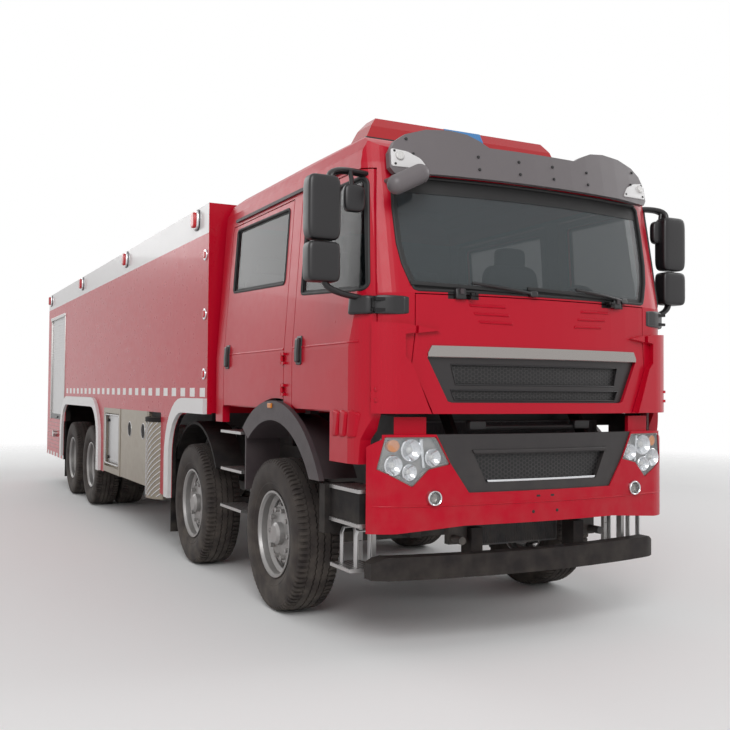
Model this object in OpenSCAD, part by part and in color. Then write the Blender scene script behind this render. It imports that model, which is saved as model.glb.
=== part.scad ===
// Eight-wheel foam fire truck: crew cab, tank body, pump module, twin-steer front axles.
// X runs forward, Y to the left, Z up; the origin lies on the ground under the middle of the box.

/* [Wheelbase] */
// bumper face to axle 1
front_overhang = 1500; // [1200:10:1800]
// axle 1 to axle 2
wheelbase_1 = 1950; // [1800:10:2200]
// axle 2 to axle 3
wheelbase_2 = 4650; // [3800:10:5400]
// axle 3 to axle 4
wheelbase_3 = 1400; // [1300:10:1500]
// axle 4 to the rear bumper face
rear_overhang = 2360; // [2100:10:2600]

/* [Wheels] */
// tyre outer radius, also the height of every wheel centre
tyre_r = 525; // [500:1:545]
// tyre section width
tyre_w = 314; // [290:1:330]
// rim flange radius
flange_r = 298; // [290:1:305]
// wheel centre to truck centre, front
front_half_track = 1053; // [980:1:1080]
// outer wheel centre to truck centre, rear
rear_half_track = 1062; // [1000:1:1070]
// distance between the twin wheels
twin_pitch = 345; // [335:1:360]
// steering pin to truck centre
pin_y = 923; // [900:1:940]
// steering pin radius
pin_r = 30; // [25:1:35]
// stub axle radius
stub_r = 45; // [40:1:55]
// rear axle tube radius
tube_r = 70; // [60:1:80]
// running clearance of a shaft in its bore
run_gap = 0.1; // [0.05:0.01:0.2]
// wheel studs on one wheel
studs = 10; // [8:1:12]

/* [Cab] */
// cab rear wall behind axle 1
cab_rear = 1322; // [1200:1:1330]
// half width at the belt line
cab_half_w = 1180; // [1100:1:1200]
// half width at the roof gutter
gutter_half_w = 1105; // [1050:1:1150]
// underside of the cab floor
floor_z = 1390; // [1350:1:1420]
// belt crease
belt_z = 1780; // [1700:1:1850]
// foot of the windscreen
cowl_z = 2100; // [2050:1:2150]
// roof gutter
gutter_z = 2880; // [2820:1:2900]
// wall and door thickness
wall = 60; // [40:1:80]
// nose of the cab ahead of axle 1
nose_x = 1490; // [1450:1:1500]
// windscreen lean
screen_lean = 11; // [8:0.5:16]
// gap round doors
door_gap = 8; // [6:1:12]

/* [Body] */
// half width of the body panels
body_half_w = 1230; // [1200:1:1250]
// body front face behind axle 1
body_front = 1411; // [1400:1:1450]
// pump module joint behind axle 4
module_gap = 509; // [450:1:600]
// bumper and ladder behind the body
rear_step = 60; // [50:1:90]
// underside of the tank
tank_low_z = 1330; // [1300:1:1350]
// lower edge of the skirts
skirt_z = 515; // [480:1:560]
// top of the white side boards
top_z = 3090; // [3050:1:3120]
// roof deck below the top of the boards
board_h = 230; // [200:1:300]
// side board thickness
board_t = 120; // [80:1:150]
// skirt thickness
skirt_t = 40; // [30:1:60]
// how far the white arches stand proud
arch_t = 35; // [20:1:40]

/* [Chassis] */
// rail centre to truck centre
rail_y = 390; // [350:1:430]
// rail underside and top
rail_z0 = 760; // [720:1:800]
// rail top
rail_z1 = 1040; // [1000:1:1080]

/* [Hidden] */
$fn = 48;
overall_l = front_overhang + wheelbase_1 + wheelbase_2 + wheelbase_3 + rear_overhang;
front_x = overall_l / 2;
ax1 = front_x - front_overhang;
ax2 = -wheelbase_1;
ax3 = ax2 - wheelbase_2;
ax4 = ax3 - wheelbase_3;
module_x = module_gap - ax4;
body_rear = rear_overhang - rear_step - ax4;
board_z = top_z - board_h;
panel_y = -body_half_w;
corner_r = 270;
corner_a = 12;
nose_r = 4690;
corner_y = cab_half_w - corner_r;
join_y = corner_y + corner_r * sin(corner_a);
nose_a = asin(join_y / nose_r);
corner_x = nose_x - nose_r + nose_r * cos(nose_a) - corner_r * cos(corner_a);
// wheel arch of the cab: centre x, inner radius, outer radius
arch_cx = 20;
arch_ri = 800;
arch_ro = 935;

function arc(cx, cy, r, a0, a1, n) =
    [for (k = [0:n]) [cx + r * cos(a0 + (a1 - a0) * k / n), cy + r * sin(a0 + (a1 - a0) * k / n)]];
function flip(pts) = [for (k = [len(pts) - 1:-1:0]) [pts[k][0], -pts[k][1]]];
function flip_x(pts) = [for (k = [len(pts) - 1:-1:0]) [-pts[k][0], pts[k][1]]];

// outline of a rectangle with rounded corners
function round_rect(a0, b0, a1, b1, r) = concat(arc(a1 - r, b0 + r, r, -90, 0, 4),
    arc(a1 - r, b1 - r, r, 0, 90, 4), arc(a0 + r, b1 - r, r, 90, 180, 4),
    arc(a0 + r, b0 + r, r, 180, 270, 4));

module both() { children(); mirror([0, 1, 0]) children(); }
// a side outline (x, z) pushed along Y from y0 to y1
module side_prism(y0, y1) translate([0, y1, 0]) rotate([90, 0, 0]) linear_extrude(y1 - y0) children();
// a front outline (y, z) pushed along X from x0 to x1
module front_prism(x0, x1)
    translate([x0, 0, 0]) rotate([90, 0, 90]) linear_extrude(x1 - x0) children();
module block(x0, x1, y0, y1, z0, z1) translate([x0, y0, z0]) cube([x1 - x0, y1 - y0, z1 - z0]);
module bar_y(x, z, r, y0, y1) translate([x, y0, z]) rotate([-90, 0, 0]) cylinder(r = r, h = y1 - y0);
module bar_x(y, z, r, x0, x1) translate([x0, y, z]) rotate([0, 90, 0]) cylinder(r = r, h = x1 - x0);
module bar_z(x, y, r, z0, z1) translate([x, y, z0]) cylinder(r = r, h = z1 - z0);

// Cab form: three outlines crossed, each drawn i inside the skin.
function cab_side(i) = concat(
    [[-cab_rear + i, floor_z + i], [1700, floor_z + i], [1700, 2585]],
    arc(900, 2590, 500 - i, 0, 80, 14),
    arc(-cab_rear + 180, 2995, 180 - i, 90, 180, 7));
function front_half(i) = [
    [cab_half_w - i, 1000], [cab_half_w - i, belt_z], [gutter_half_w - i, gutter_z],
    [1092 - i, 2960 - 0.3 * i], [1045 - 0.8 * i, 3050 - 0.6 * i], [955 - 0.6 * i, 3120 - 0.8 * i],
    [800 - 0.3 * i, 3165 - i], [500, 3192 - i]];
function cab_front(i) = concat(front_half(i), flip_x(front_half(i)));
// plan outline: bowed nose, round corners running out past the sides
function plan_half(i) = concat(
    arc(nose_x - nose_r, 0, nose_r - i, 0, nose_a, 7),
    arc(corner_x, corner_y, corner_r - i, corner_a + 4, 76, 11),
    [[corner_x + (corner_r - i) * cos(76) - 300 * sin(76), corner_y + (corner_r - i) * sin(76)
        + 300 * cos(76)], [-4000, corner_y + (corner_r - i) * sin(76) + 300 * cos(76)]]);
function cab_plan(i) =
    let (h = plan_half(i)) concat([for (k = [1:len(h) - 1]) h[k]], flip(h));
// wall of the plan outline between two insets
module plan_ring(i0, i1, z0, z1) translate([0, 0, z0]) linear_extrude(z1 - z0)
    polygon(concat(open_plan(i0, 1), open_plan(i1, -1)));
function open_plan(i, way) = let (h = plan_half(i), n = len(h) - 2)
    way > 0 ? concat([for (k = [n:-1:1]) [h[k][0], -h[k][1]]], [for (k = [0:n]) h[k]])
        : concat([for (k = [n:-1:1]) h[k]], [for (k = [0:n]) [h[k][0], -h[k][1]]]);

module cab_solid(i) intersection() {
    side_prism(-1400, 1400) polygon(cab_side(i));
    front_prism(-2000, 2000) polygon(cab_front(i));
    translate([0, 0, 900]) linear_extrude(2600) polygon(cab_plan(i));
    translate([nose_x, 0, cowl_z]) rotate([0, -screen_lean, 0]) translate([-nose_x, 0, -1600])
        linear_extrude(4000) polygon(cab_plan(i));
}
module skin(i0, i1) difference() { cab_solid(i0); cab_solid(i1); }

// Door and window outlines in side view, grown by g.
hinge_edge = 1328;
module front_door_2d(g) polygon([[305 - g, floor_z + 12 - g], [hinge_edge + g, floor_z + 12 - g],
    [hinge_edge + g, 2062], [1212 + g, 2835 + g], [305 - g, 2835 + g]]);
module rear_door_2d(g) polygon([[-1130 - g, floor_z + 12 - g], [150 + g, floor_z + 12 - g],
    [150 + g, 2835 + g], [-1100 - g, 2835 + g], [-1130 - g, 2790]]);
module front_win_2d(g) polygon([[390 - g, 2160 - g], [1262 + g, 2108 - g], [1290 + g, 2135],
    [1245 + g, 2461], [1203 + g, 2755], [1183 + g, 2785 + g], [410 - g, 2790 + g], [390 - g, 2770 + g]]);
module rear_win_2d(g) polygon([[-995 - g, 2300 - g], [60 + g, 2262 - g], [80 + g, 2285], [80 + g, 2770],
    [60 + g, 2790 + g], [-995 - g, 2800 + g], [-1012 - g, 2780], [-1012 - g, 2320]]);
// front door below the floor, slanting back over the steps
module front_skirt_2d() polygon([[305, 1095], [1245, 1095], [1255, 1235], [hinge_edge, 1385],
    [hinge_edge, floor_z + 40], [305, floor_z + 40]]);
// windscreen and front flap outlines in front view
function screen_half(g) = [[850 + g, 2110 - g], [873 + g, 2118], [893 + g, 2155], [932 + g, 2263],
    [953 + g, 2385], [960 + g, 2594], [954 + g, 2765], [925 + g, 2798 + g]];
module screen_2d(g) polygon(concat(screen_half(g), flip_x(screen_half(g))));
function flap_half(g) = [[757 + g, floor_z - g], [888 + g, 1677], [868 + g, 1859], [868 + g, 2085 + g]];
module flap_2d(g) polygon(concat(flap_half(g), flip_x(flap_half(g))));
function mouth_half(g) = [[640 + g, 1455 - g], [668 + g, 1463], [795 + g, 1715], [795 + g, 1724 + g]];
module mouth_2d(g) polygon(concat(mouth_half(g), flip_x(mouth_half(g))));
// hinge axes of the doors, and the heights of their knuckles
hinges = [[hinge_edge + 2, -1102, [1500, 2018]], [152, -1192, [1525, 1738]]];

// Cab
module cab_shell() color([0.75, 0.05, 0.08]) translate([ax1, 0, 0]) {
    difference() {
        union() {
            difference() {
                skin(0, wall);
                intersection() {
                    front_prism(1100, 1700) flap_2d(6);
                    plan_ring(-20, 90, 1300, 2200);
                }
                front_prism(1150, 1700) screen_2d(0);
            }
            // bulkhead behind the flap
            intersection() {
                plan_ring(95, 135, floor_z, cowl_z + 40);
                block(1000, 1700, -985, 985, 1000, 3000);
            }
        }
        block(-2000, 2000, -1400, 1400, gutter_z, 3400);
        both() {
            intersection() {
                side_prism(-1300, -940) { front_door_2d(door_gap); rear_door_2d(door_gap); }
                block(-2000, 2000, -1300, -900, floor_z + wall, 3000);
            }
            side_prism(-1300, -cab_half_w + wall + door_gap) {
                front_door_2d(door_gap);
                rear_door_2d(door_gap);
                polygon([[-1130 - door_gap, 1300], [hinge_edge + door_gap, 1300],
                    [hinge_edge + door_gap, 1500], [305 - door_gap, 1500],
                    [305 - door_gap, floor_z + 4], [150 + door_gap, floor_z + 4],
                    [150 + door_gap, 1500], [-1130 - door_gap, 1500]]);
            }
            intersection() {
                plan_ring(-50, wall + door_gap, 1300, floor_z + wall + 1);
                block(305 - door_gap, hinge_edge + door_gap, -1300, -900, 1300, 1600);
            }
        }
    }
    both() {
        // air deflector on the corner
        difference() {
            intersection() {
                plan_ring(-38, 4, 1392, 1930);
                front_prism(hinge_edge + 18, 1700) polygon([[-1300, 1392], [-790, 1392], [-903, 1677],
                    [-945, 1720], [-945, 1850], [-888, 1858], [-888, 1898], [-945, 1908], [-1300, 1928]]);
            }
            for (z = hinges[0][2]) bar_z(hinges[0][0], hinges[0][1], 24, z - 32, z + 32);
        }
        for (h = hinges) for (z = h[2]) hinge_pin(h[0], h[1], z);
    }
    both() block(-cab_rear, -1150, -cab_half_w, -1120, 1265, floor_z);
    // arms down to the tilt pins
    both() difference() {
        side_prism(-520, -490) union() {
            polygon([[1298, 1106], [1365, 1112], [1368, 1145], [1190, 1400], [1090, 1400], [1282, 1122]]);
            translate([tilt_x, tilt_z]) circle(r = 42);
        }
        bar_y(tilt_x, tilt_z, 25 + run_gap, -600, -400);
    }
    // flap hinge pins on their lugs under the windscreen
    both() {
        bar_y(flap_pin_x, flap_pin_z, 6, -545, -506);
        intersection() {
            block(1400, flap_pin_x + 8, -516, -504, flap_pin_z - 3.5, flap_pin_z + 12);
            difference() { block(1400, 1600, -600, 600, 2000, 2200); cab_solid(6); }
        }
    }
}
// door hinge: pin and its lugs on the pillar, knuckle on the door
module outside_skin(i) difference() { children(); cab_solid(i); }
module hinge_pin(x, y, z) {
    bar_z(x, y, 7, z - 40, z + 40);
    for (e = [z - 40, z + 22]) {
        bar_z(x, y, 13, e, e + 18);
        outside_skin(4) block(x + 8, x + 44, y - 10, y + 75, e, e + 18);
    }
}
module hinge_notch(h) for (z = h[2]) bar_z(h[0], h[1], 22, z - 46, z + 46);
module hinge_knuckle(h) difference() {
    for (z = h[2]) {
        bar_z(h[0], h[1], 13, z - 17, z + 17);
        block(h[0] - 50, h[0], h[1] - 6, h[1] + 20, z - 17, z + 17);
    }
    for (z = h[2]) bar_z(h[0], h[1], 7 + run_gap, z - 50, z + 50);
}
tilt_x = 1330;
tilt_z = 1130;
flap_pin_x = 1495;
flap_pin_z = 2090;
module square_2d(half, z0, z1) translate([-half, z0]) square([2 * half, z1 - z0]);

module cab_roof() color([0.75, 0.05, 0.08]) translate([ax1, 0, 0]) intersection() {
    skin(0, 45);
    block(-2000, 2000, -1400, 1400, gutter_z, 3400);
}

module cab_glass() color([0.2, 0.22, 0.24]) translate([ax1, 0, 0]) intersection() {
    skin(12, 18);
    front_prism(1150, 1700) screen_2d(0);
}

// the floor's edge between the doors, kept out of the door leaves
// the front door's foot keeps outside this width, to swing clear of the floor
door_foot_y = 1050;
module floor_edge() intersection() {
    block(-2000, 2000, -cab_half_w + wall, -500, 1000, floor_z + wall + 1);
    translate([0, 0, 1000]) linear_extrude(600) polygon(cab_plan(wall));
}
module front_door_plain() {
    difference() {
        union() {
            difference() {
                intersection() { skin(0, wall); side_prism(-1300, -940) front_door_2d(0); }
                floor_edge();
            }
            intersection() {
                plan_ring(0, wall, 1095, floor_z + 40);
                side_prism(-cab_half_w, -930) front_skirt_2d();
            }
        }
        block(1200, hinge_edge + 10, -door_foot_y, -900, 1000, floor_z + wall + door_gap);
        bar_y(arch_cx, 515, arch_ro + 18, -1300, -900);
        side_prism(-1300, -900) front_win_2d(0);
        hinge_notch(hinges[0]);
    }
    hinge_knuckle(hinges[0]);
}
module rear_door_plain() {
    difference() {
        intersection() { skin(0, wall); side_prism(-1300, -950) rear_door_2d(0); }
        floor_edge();
        bar_y(arch_cx, 515, arch_ro + 18, -1300, -900);
        side_prism(-1300, -900) rear_win_2d(0);
        hinge_notch(hinges[1]);
    }
    hinge_knuckle(hinges[1]);
}
module front_pane() intersection() { skin(12, 18); side_prism(-1300, -950) front_win_2d(0); }
module rear_pane() intersection() { skin(12, 18); side_prism(-1300, -950) rear_win_2d(0); }
module door_fr() color([0.75, 0.05, 0.08]) translate([ax1, 0, 0]) front_door_plain();
module door_fl() color([0.75, 0.05, 0.08]) translate([ax1, 0, 0]) mirror([0, 1, 0]) front_door_plain();
module door_rr() color([0.75, 0.05, 0.08]) translate([ax1, 0, 0]) rear_door_plain();
module door_rl() color([0.75, 0.05, 0.08]) translate([ax1, 0, 0]) mirror([0, 1, 0]) rear_door_plain();
module glass_fr() color([0.2, 0.22, 0.24]) translate([ax1, 0, 0]) front_pane();
module glass_fl() color([0.2, 0.22, 0.24]) translate([ax1, 0, 0]) mirror([0, 1, 0]) front_pane();
module glass_rr() color([0.2, 0.22, 0.24]) translate([ax1, 0, 0]) rear_pane();
module glass_rl() color([0.2, 0.22, 0.24]) translate([ax1, 0, 0]) mirror([0, 1, 0]) rear_pane();

// two-piece mirror on its arms: tall upper head, short lower head; out is its reach
module mirror_head(y0, y1, z0, z1) intersection() {
    front_prism(1190, 1330) polygon(round_rect(y0, z0, y1, z1, 50));
    linear_extrude(4000) polygon([[1200, y0], [1260, y0], [1290, y0 + 35], [1306, (y0 + y1) / 2],
        [1300, y1 - 40], [1275, y1], [1200, y1]]);
}
module mirror_plain(out) difference() {
    union() {
        mirror_head(-out, 202 - out, 2376, 2748);
        mirror_head(-out + 2, 200 - out, 2136, 2366);
        bar_z(1246, 90 - out, 15, 2064, 2828);
        bar_y(1180, 2812, 15, 90 - out, -1000);
        block(1166, 1261, 75 - out, 105 - out, 2797, 2827);
        bar_y(1246, 2080, 15, 90 - out, -1000);
    }
    cab_solid(-0.3);
}
module mirror_r() color([0.08, 0.08, 0.09]) translate([ax1, 0, 0]) mirror_plain(1500);
module mirror_l() color([0.08, 0.08, 0.09]) translate([ax1, 0, 0]) mirror([0, 1, 0]) mirror_plain(1380);

// lower edge of the guards, above the path of the steered tyre
guard_low_z = tyre_r + 260;
// wheel arch flares, guards behind them, gutter strips and wiper feet
module cab_trim() color([0.14, 0.12, 0.13]) translate([ax1, 0, 0]) {
    both() {
        intersection() {
            difference() {
                union() {
                    bar_y(arch_cx, 515, arch_ro, -1215, -cab_half_w - 0.3);
                    bar_y(arch_cx, 515, arch_ri + 40, -1200, -900);
                }
                bar_y(arch_cx, 515, arch_ri, -1300, -800);
            }
            side_prism(-1300, -800) polygon([[-600, 1255], [0, 900], [700, 965], [1100, 965],
                [1100, 1600], [-600, 1600]]);
        }
        block(-545, -527, -1200, -930, guard_low_z, 1262);
        block(-1040, 960, -1122, -1106.1, gutter_z - 12, gutter_z + 10);
        block(1454, 1486, -610, -585, 2093, 2124);
    }
}

// wall of the plan outline, leaning with the windscreen
module leaning_ring(i0, i1) translate([nose_x, 0, cowl_z]) rotate([0, -screen_lean, 0])
    translate([-nose_x, 0, -1600]) plan_ring(i0, i1, 0, 4000);
// visor outline in front view: low in the middle, a hump at each end
visor_half = [[700, 2808], [965, 2796], [992, 2830], [990, 2920], [950, 2995], [880, 3045], [750, 3085],
    [600, 3096], [480, 3082], [400, 3050], [330, 3012]];
module sun_visor() color([0.25, 0.23, 0.24]) translate([ax1, 0, 0]) {
    intersection() {
        leaning_ring(-70, -28);
        front_prism(1100, 1700) polygon(concat(visor_half, flip_x(visor_half)));
    }
    for (y = [-740, -20, 700]) outside_skin(-0.3) intersection() {
        leaning_ring(-40, 200);
        block(1100, 1700, y, y + 40, 2815, 2850);
    }
    // front-view mirror on its stay at the right corner
    outside_skin(-0.3) bar_x(-985, 2760, 14, 1150, 1420);
    translate([1420, -930, 2745]) rotate([27, 0, 0]) {
        for (y = [-85, 85]) translate([0, y, 0]) sphere(r = 58);
        bar_y(0, 0, 58, -85, 85);
    }
}

// light bar: base on two feet, domed top
bar_front = [[-785, 3215], [785, 3215], [740, 3305], [692, 3362], [-692, 3362], [-740, 3305]];
bar_side = [[358, 3215], [604, 3215], [590, 3295], [548, 3362], [414, 3362], [372, 3295]];
module light_bar() color([0.8, 0.08, 0.1]) translate([ax1, 0, 0]) {
    both() block(430, 570, -700, -600, 3107, 3166);
    block(355, 607, -790, 790, 3166, 3215);
    intersection() {
        front_prism(300, 700) polygon(bar_front);
        side_prism(-900, 900) polygon(bar_side);
    }
}

// seats, dash and steering wheel
module cab_interior() color([0.12, 0.12, 0.13]) translate([ax1, 0, 0]) {
    both() {
        block(250, 780, -900, -380, floor_z + wall, 1860);
        block(180, 300, -900, -380, 1860, 2500);
    }
    block(-1180, -660, -1000, 1000, floor_z + wall, 1860);
    block(-cab_rear + wall, -1110, -1000, 1000, 1860, 2480);
    block(1000, 1240, -900, 900, floor_z + wall, 2080);
    translate([960, 640, 2060]) rotate([0, -60, 0]) {
        rotate_extrude() translate([215, 0]) circle(r = 17);
        cylinder(r = 30, h = 6, center = true);
        for (a = [0:120:240]) rotate([0, 0, a]) block(0, 205, -14, 14, -7, 7);
        translate([0, 0, -260]) cylinder(r = 22, h = 260);
    }
}

// front flap: hinged under the windscreen, with the grille mouth
module front_flap() color([0.75, 0.05, 0.08]) translate([ax1, 0, 0]) difference() {
    union() {
        intersection() { plan_ring(0, 55, floor_z - 5, 2100); front_prism(1200, 1700) flap_2d(0); }
        both() {
            intersection() {
                plan_ring(-28, 4, 1800, 1950);
                front_prism(1200, 1700) polygon([[-864, 1857], [-731, 1874], [-864, 1900]]);
            }
            bar_y(flap_pin_x, flap_pin_z, 11, -546, -522);
            block(1440, flap_pin_x + 4, -546, -522, 2066, 2085);
        }
    }
    both() bar_y(flap_pin_x, flap_pin_z, 6 + run_gap, -560, -500);
    front_prism(1100, 1700) mouth_2d(0);
}
module grille() color([0.1, 0.09, 0.1]) translate([ax1, 0, 0]) {
    intersection() {
        difference() {
            plan_ring(22, 50, 1400, 1800);
            intersection() { plan_ring(0, 40, 1400, 1800); front_prism(1100, 1700) slot_2d(); }
        }
        front_prism(1200, 1700) mouth_2d(-0.5);
    }
    intersection() {
        plan_ring(-9, -0.3, 1724, 1790);
        front_prism(1200, 1700) polygon([[-795, 1724], [795, 1724], [795, 1745], [772, 1788], [-772, 1788],
            [-795, 1745]]);
    }
}
// recesses between the grille bars
slot_wide = [[606, 1562], [636, 1680]];
slot_low = [[612, 1470], [638, 1530]];
module slot_2d() {
    polygon(concat(slot_wide, flip_x(slot_wide)));
    polygon(concat(slot_low, flip_x(slot_low)));
}

// Front end on the chassis
lamp_edge = [[-742, 1256], [-1045, 1256], [-1085, 1072], [-885, 968], [-785, 1068], [-655, 1096]];
grille_edge = [[535, 928], [655, 1103], [742, 1270]];
bumper_z0 = 700;
bumper_z1 = 1270;
bumper_half = [[560, bumper_z0 + 38], [980, bumper_z0 + 4], [1200, bumper_z0], [1200, bumper_z1]];
// slope cut behind the lamps for the foot of the door as the cab tilts, in side view
tilt_notch = [[1290, 1190], [1362, 1242], [1362, bumper_z1 + 10], [1290, bumper_z1 + 10]];
module bumper() color([0.75, 0.05, 0.08]) translate([ax1, 0, 0]) {
    difference() {
        intersection() {
            plan_ring(-10, 50, bumper_z0, bumper_z1);
            front_prism(1300, 1700) polygon(concat(bumper_half, flip_x(bumper_half)));
        }
        front_prism(1100, 1800) polygon(concat(grille_edge, flip_x(grille_edge)));
        both() front_prism(1100, 1800) polygon(lamp_edge);
        both() {
            bar_x(-759, 905, 48.3, 1200, 1700);
            side_prism(-1300, -1000) polygon(tilt_notch);
        }
    }
    // corner panels behind the lamps, up to the cab
    both() intersection() {
        plan_ring(47, 75, 1050, 1370);
        block(1340, 1700, -1150, -775, 1050, 1370);
    }
}
module headlamps() color([0.8, 0.82, 0.85]) translate([ax1, 0, 0]) both() {
    intersection() {
        plan_ring(-6, 46, 900, 1300);
        front_prism(1300, 1700) polygon(lamp_edge);
    }
    bar_x(-759, 905, 48, 1405, 1462);
}
// dark grille in the bumper mouth, with a recess for its mesh
recess_edge = [[417, 985], [497, 1150]];
module low_grille() color([0.1, 0.09, 0.1]) translate([ax1, 0, 0]) difference() {
    intersection() {
        plan_ring(0, 46, 900, 1300);
        front_prism(1200, 1700) polygon(concat(grille_edge, flip_x(grille_edge)));
    }
    intersection() {
        plan_ring(-20, 30, 900, 1300);
        front_prism(1200, 1700) polygon(concat(recess_edge, flip_x(recess_edge)));
    }
}
module underrun_bar() color([0.12, 0.1, 0.1]) translate([ax1, 0, 0]) {
    intersection() {
        plan_ring(45, 135, 425, 560);
        front_prism(1100, 1600) polygon([[-1078, 425], [1078, 425], [1078, 520], [1000, 560], [-1000, 560],
            [-1078, 520]]);
        block(1190, 1700, -1100, 1100, 400, 600);
    }
    both() block(1225, 1340, -430, -350, 500, 699);
}
// perforated entry steps on their brackets: x0, x1, z of each tread
step_rows = [[870, 1270, 950], [870, 1270, 752], [890, 1165, 478],
    [-1250, -760, 1200], [-1240, -740, 900], [-1240, -740, 600]];
module entry_steps() color([0.7, 0.71, 0.73]) translate([ax1, 0, 0]) both() {
    for (s = step_rows) block(s[0], s[1], -1160, -960, s[2] - 22, s[2]);
    block(1080, 1110, -985, -960, 456, 950);
    block(905, 935, -985, -960, 456, 752);
    block(1080, 1110, -960, -430, 790, 840);
    block(-1010, -980, -985, -960, 578, 1200);
    block(-1010, -980, -960, -430, 850, 900);
}
// lower guards beside the steps, mudguards over axles and flaps behind the wheels
module mudguards() color([0.1, 0.09, 0.1]) translate([ax1, 0, 0]) both() {
    block(790, 870, -1190, -960, 650, 950);
    block(870, 1262, -1150, -986, step_rows[1][2], step_rows[0][2] - 22);
    side_prism(-1170, -920)
        polygon(concat(arc(ax2, tyre_r, 720, 150, 30, 12), arc(ax2, tyre_r, 695, 30, 150, 12)));
    block(ax2 - 30, ax2 + 30, -1000, -940, tyre_r + 700, tank_low_z);
    block(ax2 - 690, ax2 - 675, panel_y + 40, -900, 180, 900);
    block(ax4 - 720, ax4 - 700, panel_y + 40, -600, 190, 900);
}

// Chassis
frame_rear = body_rear - 150;
module frame() color([0.1, 0.1, 0.11]) translate([ax1, 0, 0]) {
    both() difference() {
        block(-frame_rear, 1290, -rail_y - 40, -rail_y + 40, rail_z0, rail_z1);
        block(-frame_rear - 50, 1300, -rail_y + 40 - 70, -rail_y + 50, rail_z0 + 10, rail_z1 - 10);
    }
    for (x = [1200, -1440, -3000, -4800, ax3 - 730, ax4 - 1000, -frame_rear])
        block(x, x + 60, -rail_y - 30, rail_y + 30, rail_z1 - 160, rail_z1 - 40);
    // cab tilt pins on their lugs, rear cab mounts
    both() {
        block(1220, 1362, -470, -rail_y - 40, 1000, 1162);
        bar_y(tilt_x, tilt_z, 25, -540, -440);
        block(-1200, -1100, -rail_y - 40, -rail_y + 40, rail_z1, floor_z);
    }
    // bumper brackets, cut to the bow of the bumper
    both() intersection() {
        translate([0, 0, 800]) linear_extrude(100) polygon(cab_plan(50.3));
        block(1280, 1500, -430, -350, 700, 1000);
    }
    both() bar_x(-528, 635, 24, 1250, 1390);
    both() block(1240, 1290, -560, -430, 600, 800);
    both() block(1200, 1290, -rail_y - 40, -rail_y + 40, rail_z0 - 60, rail_z0);
    both() block(-module_x, -1500, -rail_y - 30, -rail_y + 30, rail_z1, tank_low_z);
}
module axles() color([0.09, 0.09, 0.1]) translate([ax1, 0, 0]) {
    for (x = [0, ax2]) {
        difference() {
            union() {
                block(x - 55, x + 55, -pin_y + 40, pin_y - 40, 440, 560);
                both() bar_z(x, -pin_y, 65, 465, 585);
            }
            both() bar_z(x, -pin_y, pin_r + run_gap, 400, 700);
        }
        both() {
            block(x - 750, x + 750, -515, -435, 560, 640);
            for (e = [-740, 680]) block(x + e, x + e + 60, -515, -430, 640, 800);
        }
    }
    for (x = [ax3, ax4]) {
        bar_y(x, tyre_r, tube_r, -960, 960);
        bar_y(x, tyre_r, 215, -130, 130);
        block(x - 90, x + 90, -520, 520, 470, 590);
    }
    bar_x(0, 660, 70, ax3 + 60, ax3 + 300);
    bar_x(0, tyre_r + 60, 65, ax3 - 260, ax3 - 60);
    bar_x(0, tyre_r + 60, 65, ax4 + 60, ax4 + 260);
    both() {
        block(ax4 - 100, ax3 + 100, -515, -432, 590, 690);
        block((ax3 + ax4) / 2 - 130, (ax3 + ax4) / 2 + 130, -515, -430, 690, 860);
    }
}
module driveline() color([0.3, 0.31, 0.33]) translate([ax1, 0, 0]) {
    block(-500, 950, -300, 300, 620, 1250);
    block(-1250, -500, -230, 230, 660, 1080);
    // radiator, wide above the rails, with the charge cooler low in front
    block(950, 1090, -340, 340, 640, 1100);
    block(950, 1090, -760, 760, 1080, 1335);
    block(1090, 1190, -335, 335, 560, 750);
    bar_x(0, 800, 60, -1600, -1250);
    block(-1900, -1600, -220, 220, 640, 1000);
    block(200, 300, -420, 420, 800, 860);
    bar_x(0, 690, 45, ax3 + 300, -1900);
    bar_x(0, tyre_r + 60, 50, ax4 + 260, ax3 - 260);
}
// fuel tank on the left, air tanks and silencer on the right
// outer side of the tanks, behind the skirts
tank_side = body_half_w - 110;
module side_tanks() color([0.55, 0.56, 0.58]) translate([ax1, 0, 0]) {
    block(-4500, -3300, 430, tank_side, 560, 1180);
    block(-4900, -4600, 430, tank_side - 70, 700, 1150);
    block(-3700, -2950, -tank_side, -430, 560, 1150);
    bar_x(320 - tank_side, 850, 160, -5300, -4200);
    for (x = [-5150, -4350]) block(x - 30, x + 30, 320 - tank_side, -430, 830, 870);
}

// steering knuckle: fork, pin and stub axle, drawn for the right of axle 1
module knuckle_plain() {
    bar_z(0, -pin_y, pin_r, 365, 655);
    block(-50, 50, -1030, -995, 365, 655);
    block(-50, 50, -1030, -863, 592, 655);
    block(-50, 50, -1030, -863, 365, 430);
    bar_y(0, tyre_r, stub_r, -front_half_track - 70, -1000);
}
module knuckle_at(x, left) color([0.12, 0.12, 0.13]) translate([ax1 + x, 0, 0])
    mirror([0, left, 0]) knuckle_plain();
module knuckle_1r() knuckle_at(0, 0);
module knuckle_1l() knuckle_at(0, 1);
module knuckle_2r() knuckle_at(ax2, 0);
module knuckle_2l() knuckle_at(ax2, 1);

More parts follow.
